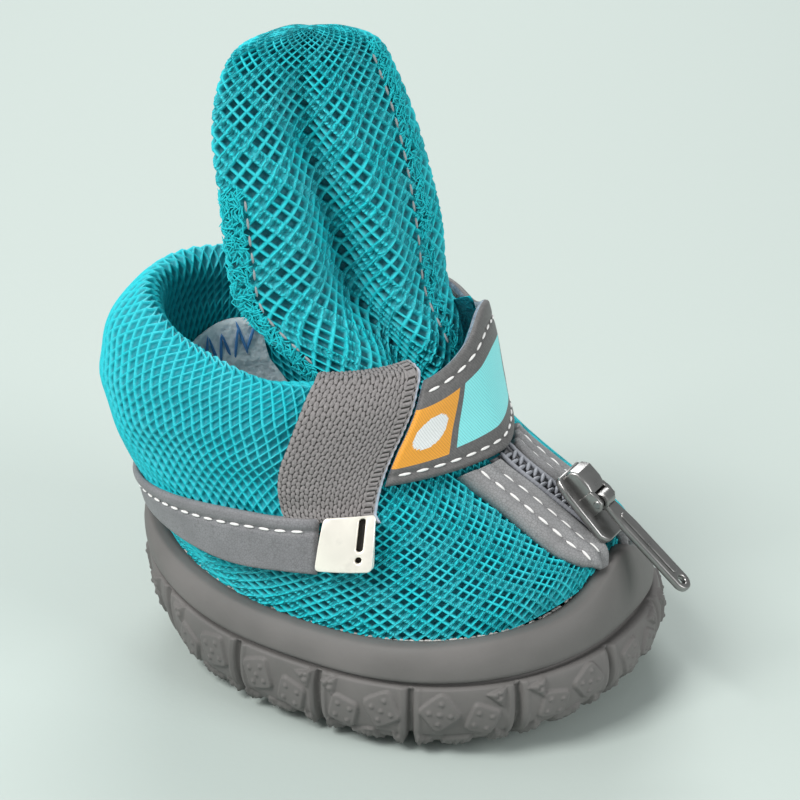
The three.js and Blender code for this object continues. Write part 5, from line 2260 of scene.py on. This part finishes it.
@dataclass(frozen=True)
class Studio:
    """A pale floor, soft lights and the camera."""

    azimuth: float = 30.0
    elevation: float = 25.0
    distance: float = 0.33
    target: tuple[float, float, float] = (0.0, 0.0, 0.038)
    shift: tuple[float, float] = (0.0125, 0.01)

    def floor(self) -> None:
        """Lays the floor."""
        surface = Surface()
        side = 1500.0
        points = np.array([[(-side, -side, 0), (-side, side, 0)], [(side, -side, 0), (side, side, 0)]], float)
        surface.grid(points)
        paint = Finish("floor_paint", tint(0.44, 0.5, 0.475), 0.75)
        floor = surface.make("floor", [paint.material()])

    def lamp(
        self, name: str, place: tuple[float, float, float], size: float, power: float, warm: float = 0.0
    ) -> None:
        """Adds one soft light aimed at the boot.

        Args:
            name: Its name.
            place: Where it stands, metres.
            size: The side of its face.
            power: Its power.
            warm: How far its colour leans from white towards yellow.
        """
        data = bpy.data.lights.new(name, "AREA")
        data.shape = "SQUARE"
        data.size = size
        data.energy = power
        data.color = (1.0, 1.0 - 0.05 * warm, 1.0 - 0.14 * warm)
        lamp = bpy.data.objects.new(name, data)
        lamp.location = place
        aim = Vector(self.target) - Vector(place)
        lamp.rotation_euler = aim.to_track_quat("-Z", "Y").to_euler()
        bpy.context.scene.collection.objects.link(lamp)

    def build(self) -> None:
        """Builds the whole studio."""
        self.floor()
        self.lamp("key_light", (-0.25, -0.55, 0.75), 0.4, 8.0, 0.2)
        self.lamp("side_light", (0.75, 0.0, 0.4), 0.4, 3.2)
        self.lamp("back_light", (-0.35, 0.6, 0.6), 0.45, 4.2)
        self.lamp("fill_light", (-0.7, -0.45, 0.35), 0.6, 1.6)
        world = bpy.data.worlds.new("room")
        world.use_nodes = True
        world.node_tree.nodes["Background"].inputs[0].default_value = (0.86, 0.9, 0.9, 1.0)
        world.node_tree.nodes["Background"].inputs[1].default_value = 0.42
        bpy.context.scene.world = world
        bpy.context.scene.view_settings.view_transform = "Standard"
        a, e = math.radians(self.azimuth), math.radians(self.elevation)
        back = Vector((math.sin(a) * math.cos(e), -math.cos(a) * math.cos(e), math.sin(e)))
        data = bpy.data.cameras.new("camera")
        data.lens = 100.0
        data.sensor_width = 36.0
        data.shift_x, data.shift_y = self.shift
        data.clip_start, data.clip_end = 0.01, 20.0
        camera = bpy.data.objects.new("camera", data)
        camera.location = Vector(self.target) + back * self.distance
        camera.rotation_euler = back.to_track_quat("Z", "Y").to_euler()
        bpy.context.scene.collection.objects.link(camera)
        bpy.context.scene.camera = camera


def main() -> None:
    """Builds the boot and its studio."""
    start = time.perf_counter()
    skin = Skin()
    sole = Sole()
    upper = Upper(skin)
    collar = Collar(skin, upper)
    strip = SideStrip(skin)
    webbing = Webbing(collar)
    slider = Slider()
    for piece in (
        Studio(), sole, Insole(sole), upper, collar, HeelFelt(collar), Tongue(), Facings(skin), Zip(skin),
        slider, PullTab(slider), strip, StripTip(strip), webbing, Strap(skin, webbing),
    ):
        piece.build()
        log.info("%s finished after %.1f s", type(piece).__name__, time.perf_counter() - start)


if __name__ == "__main__":
    main()
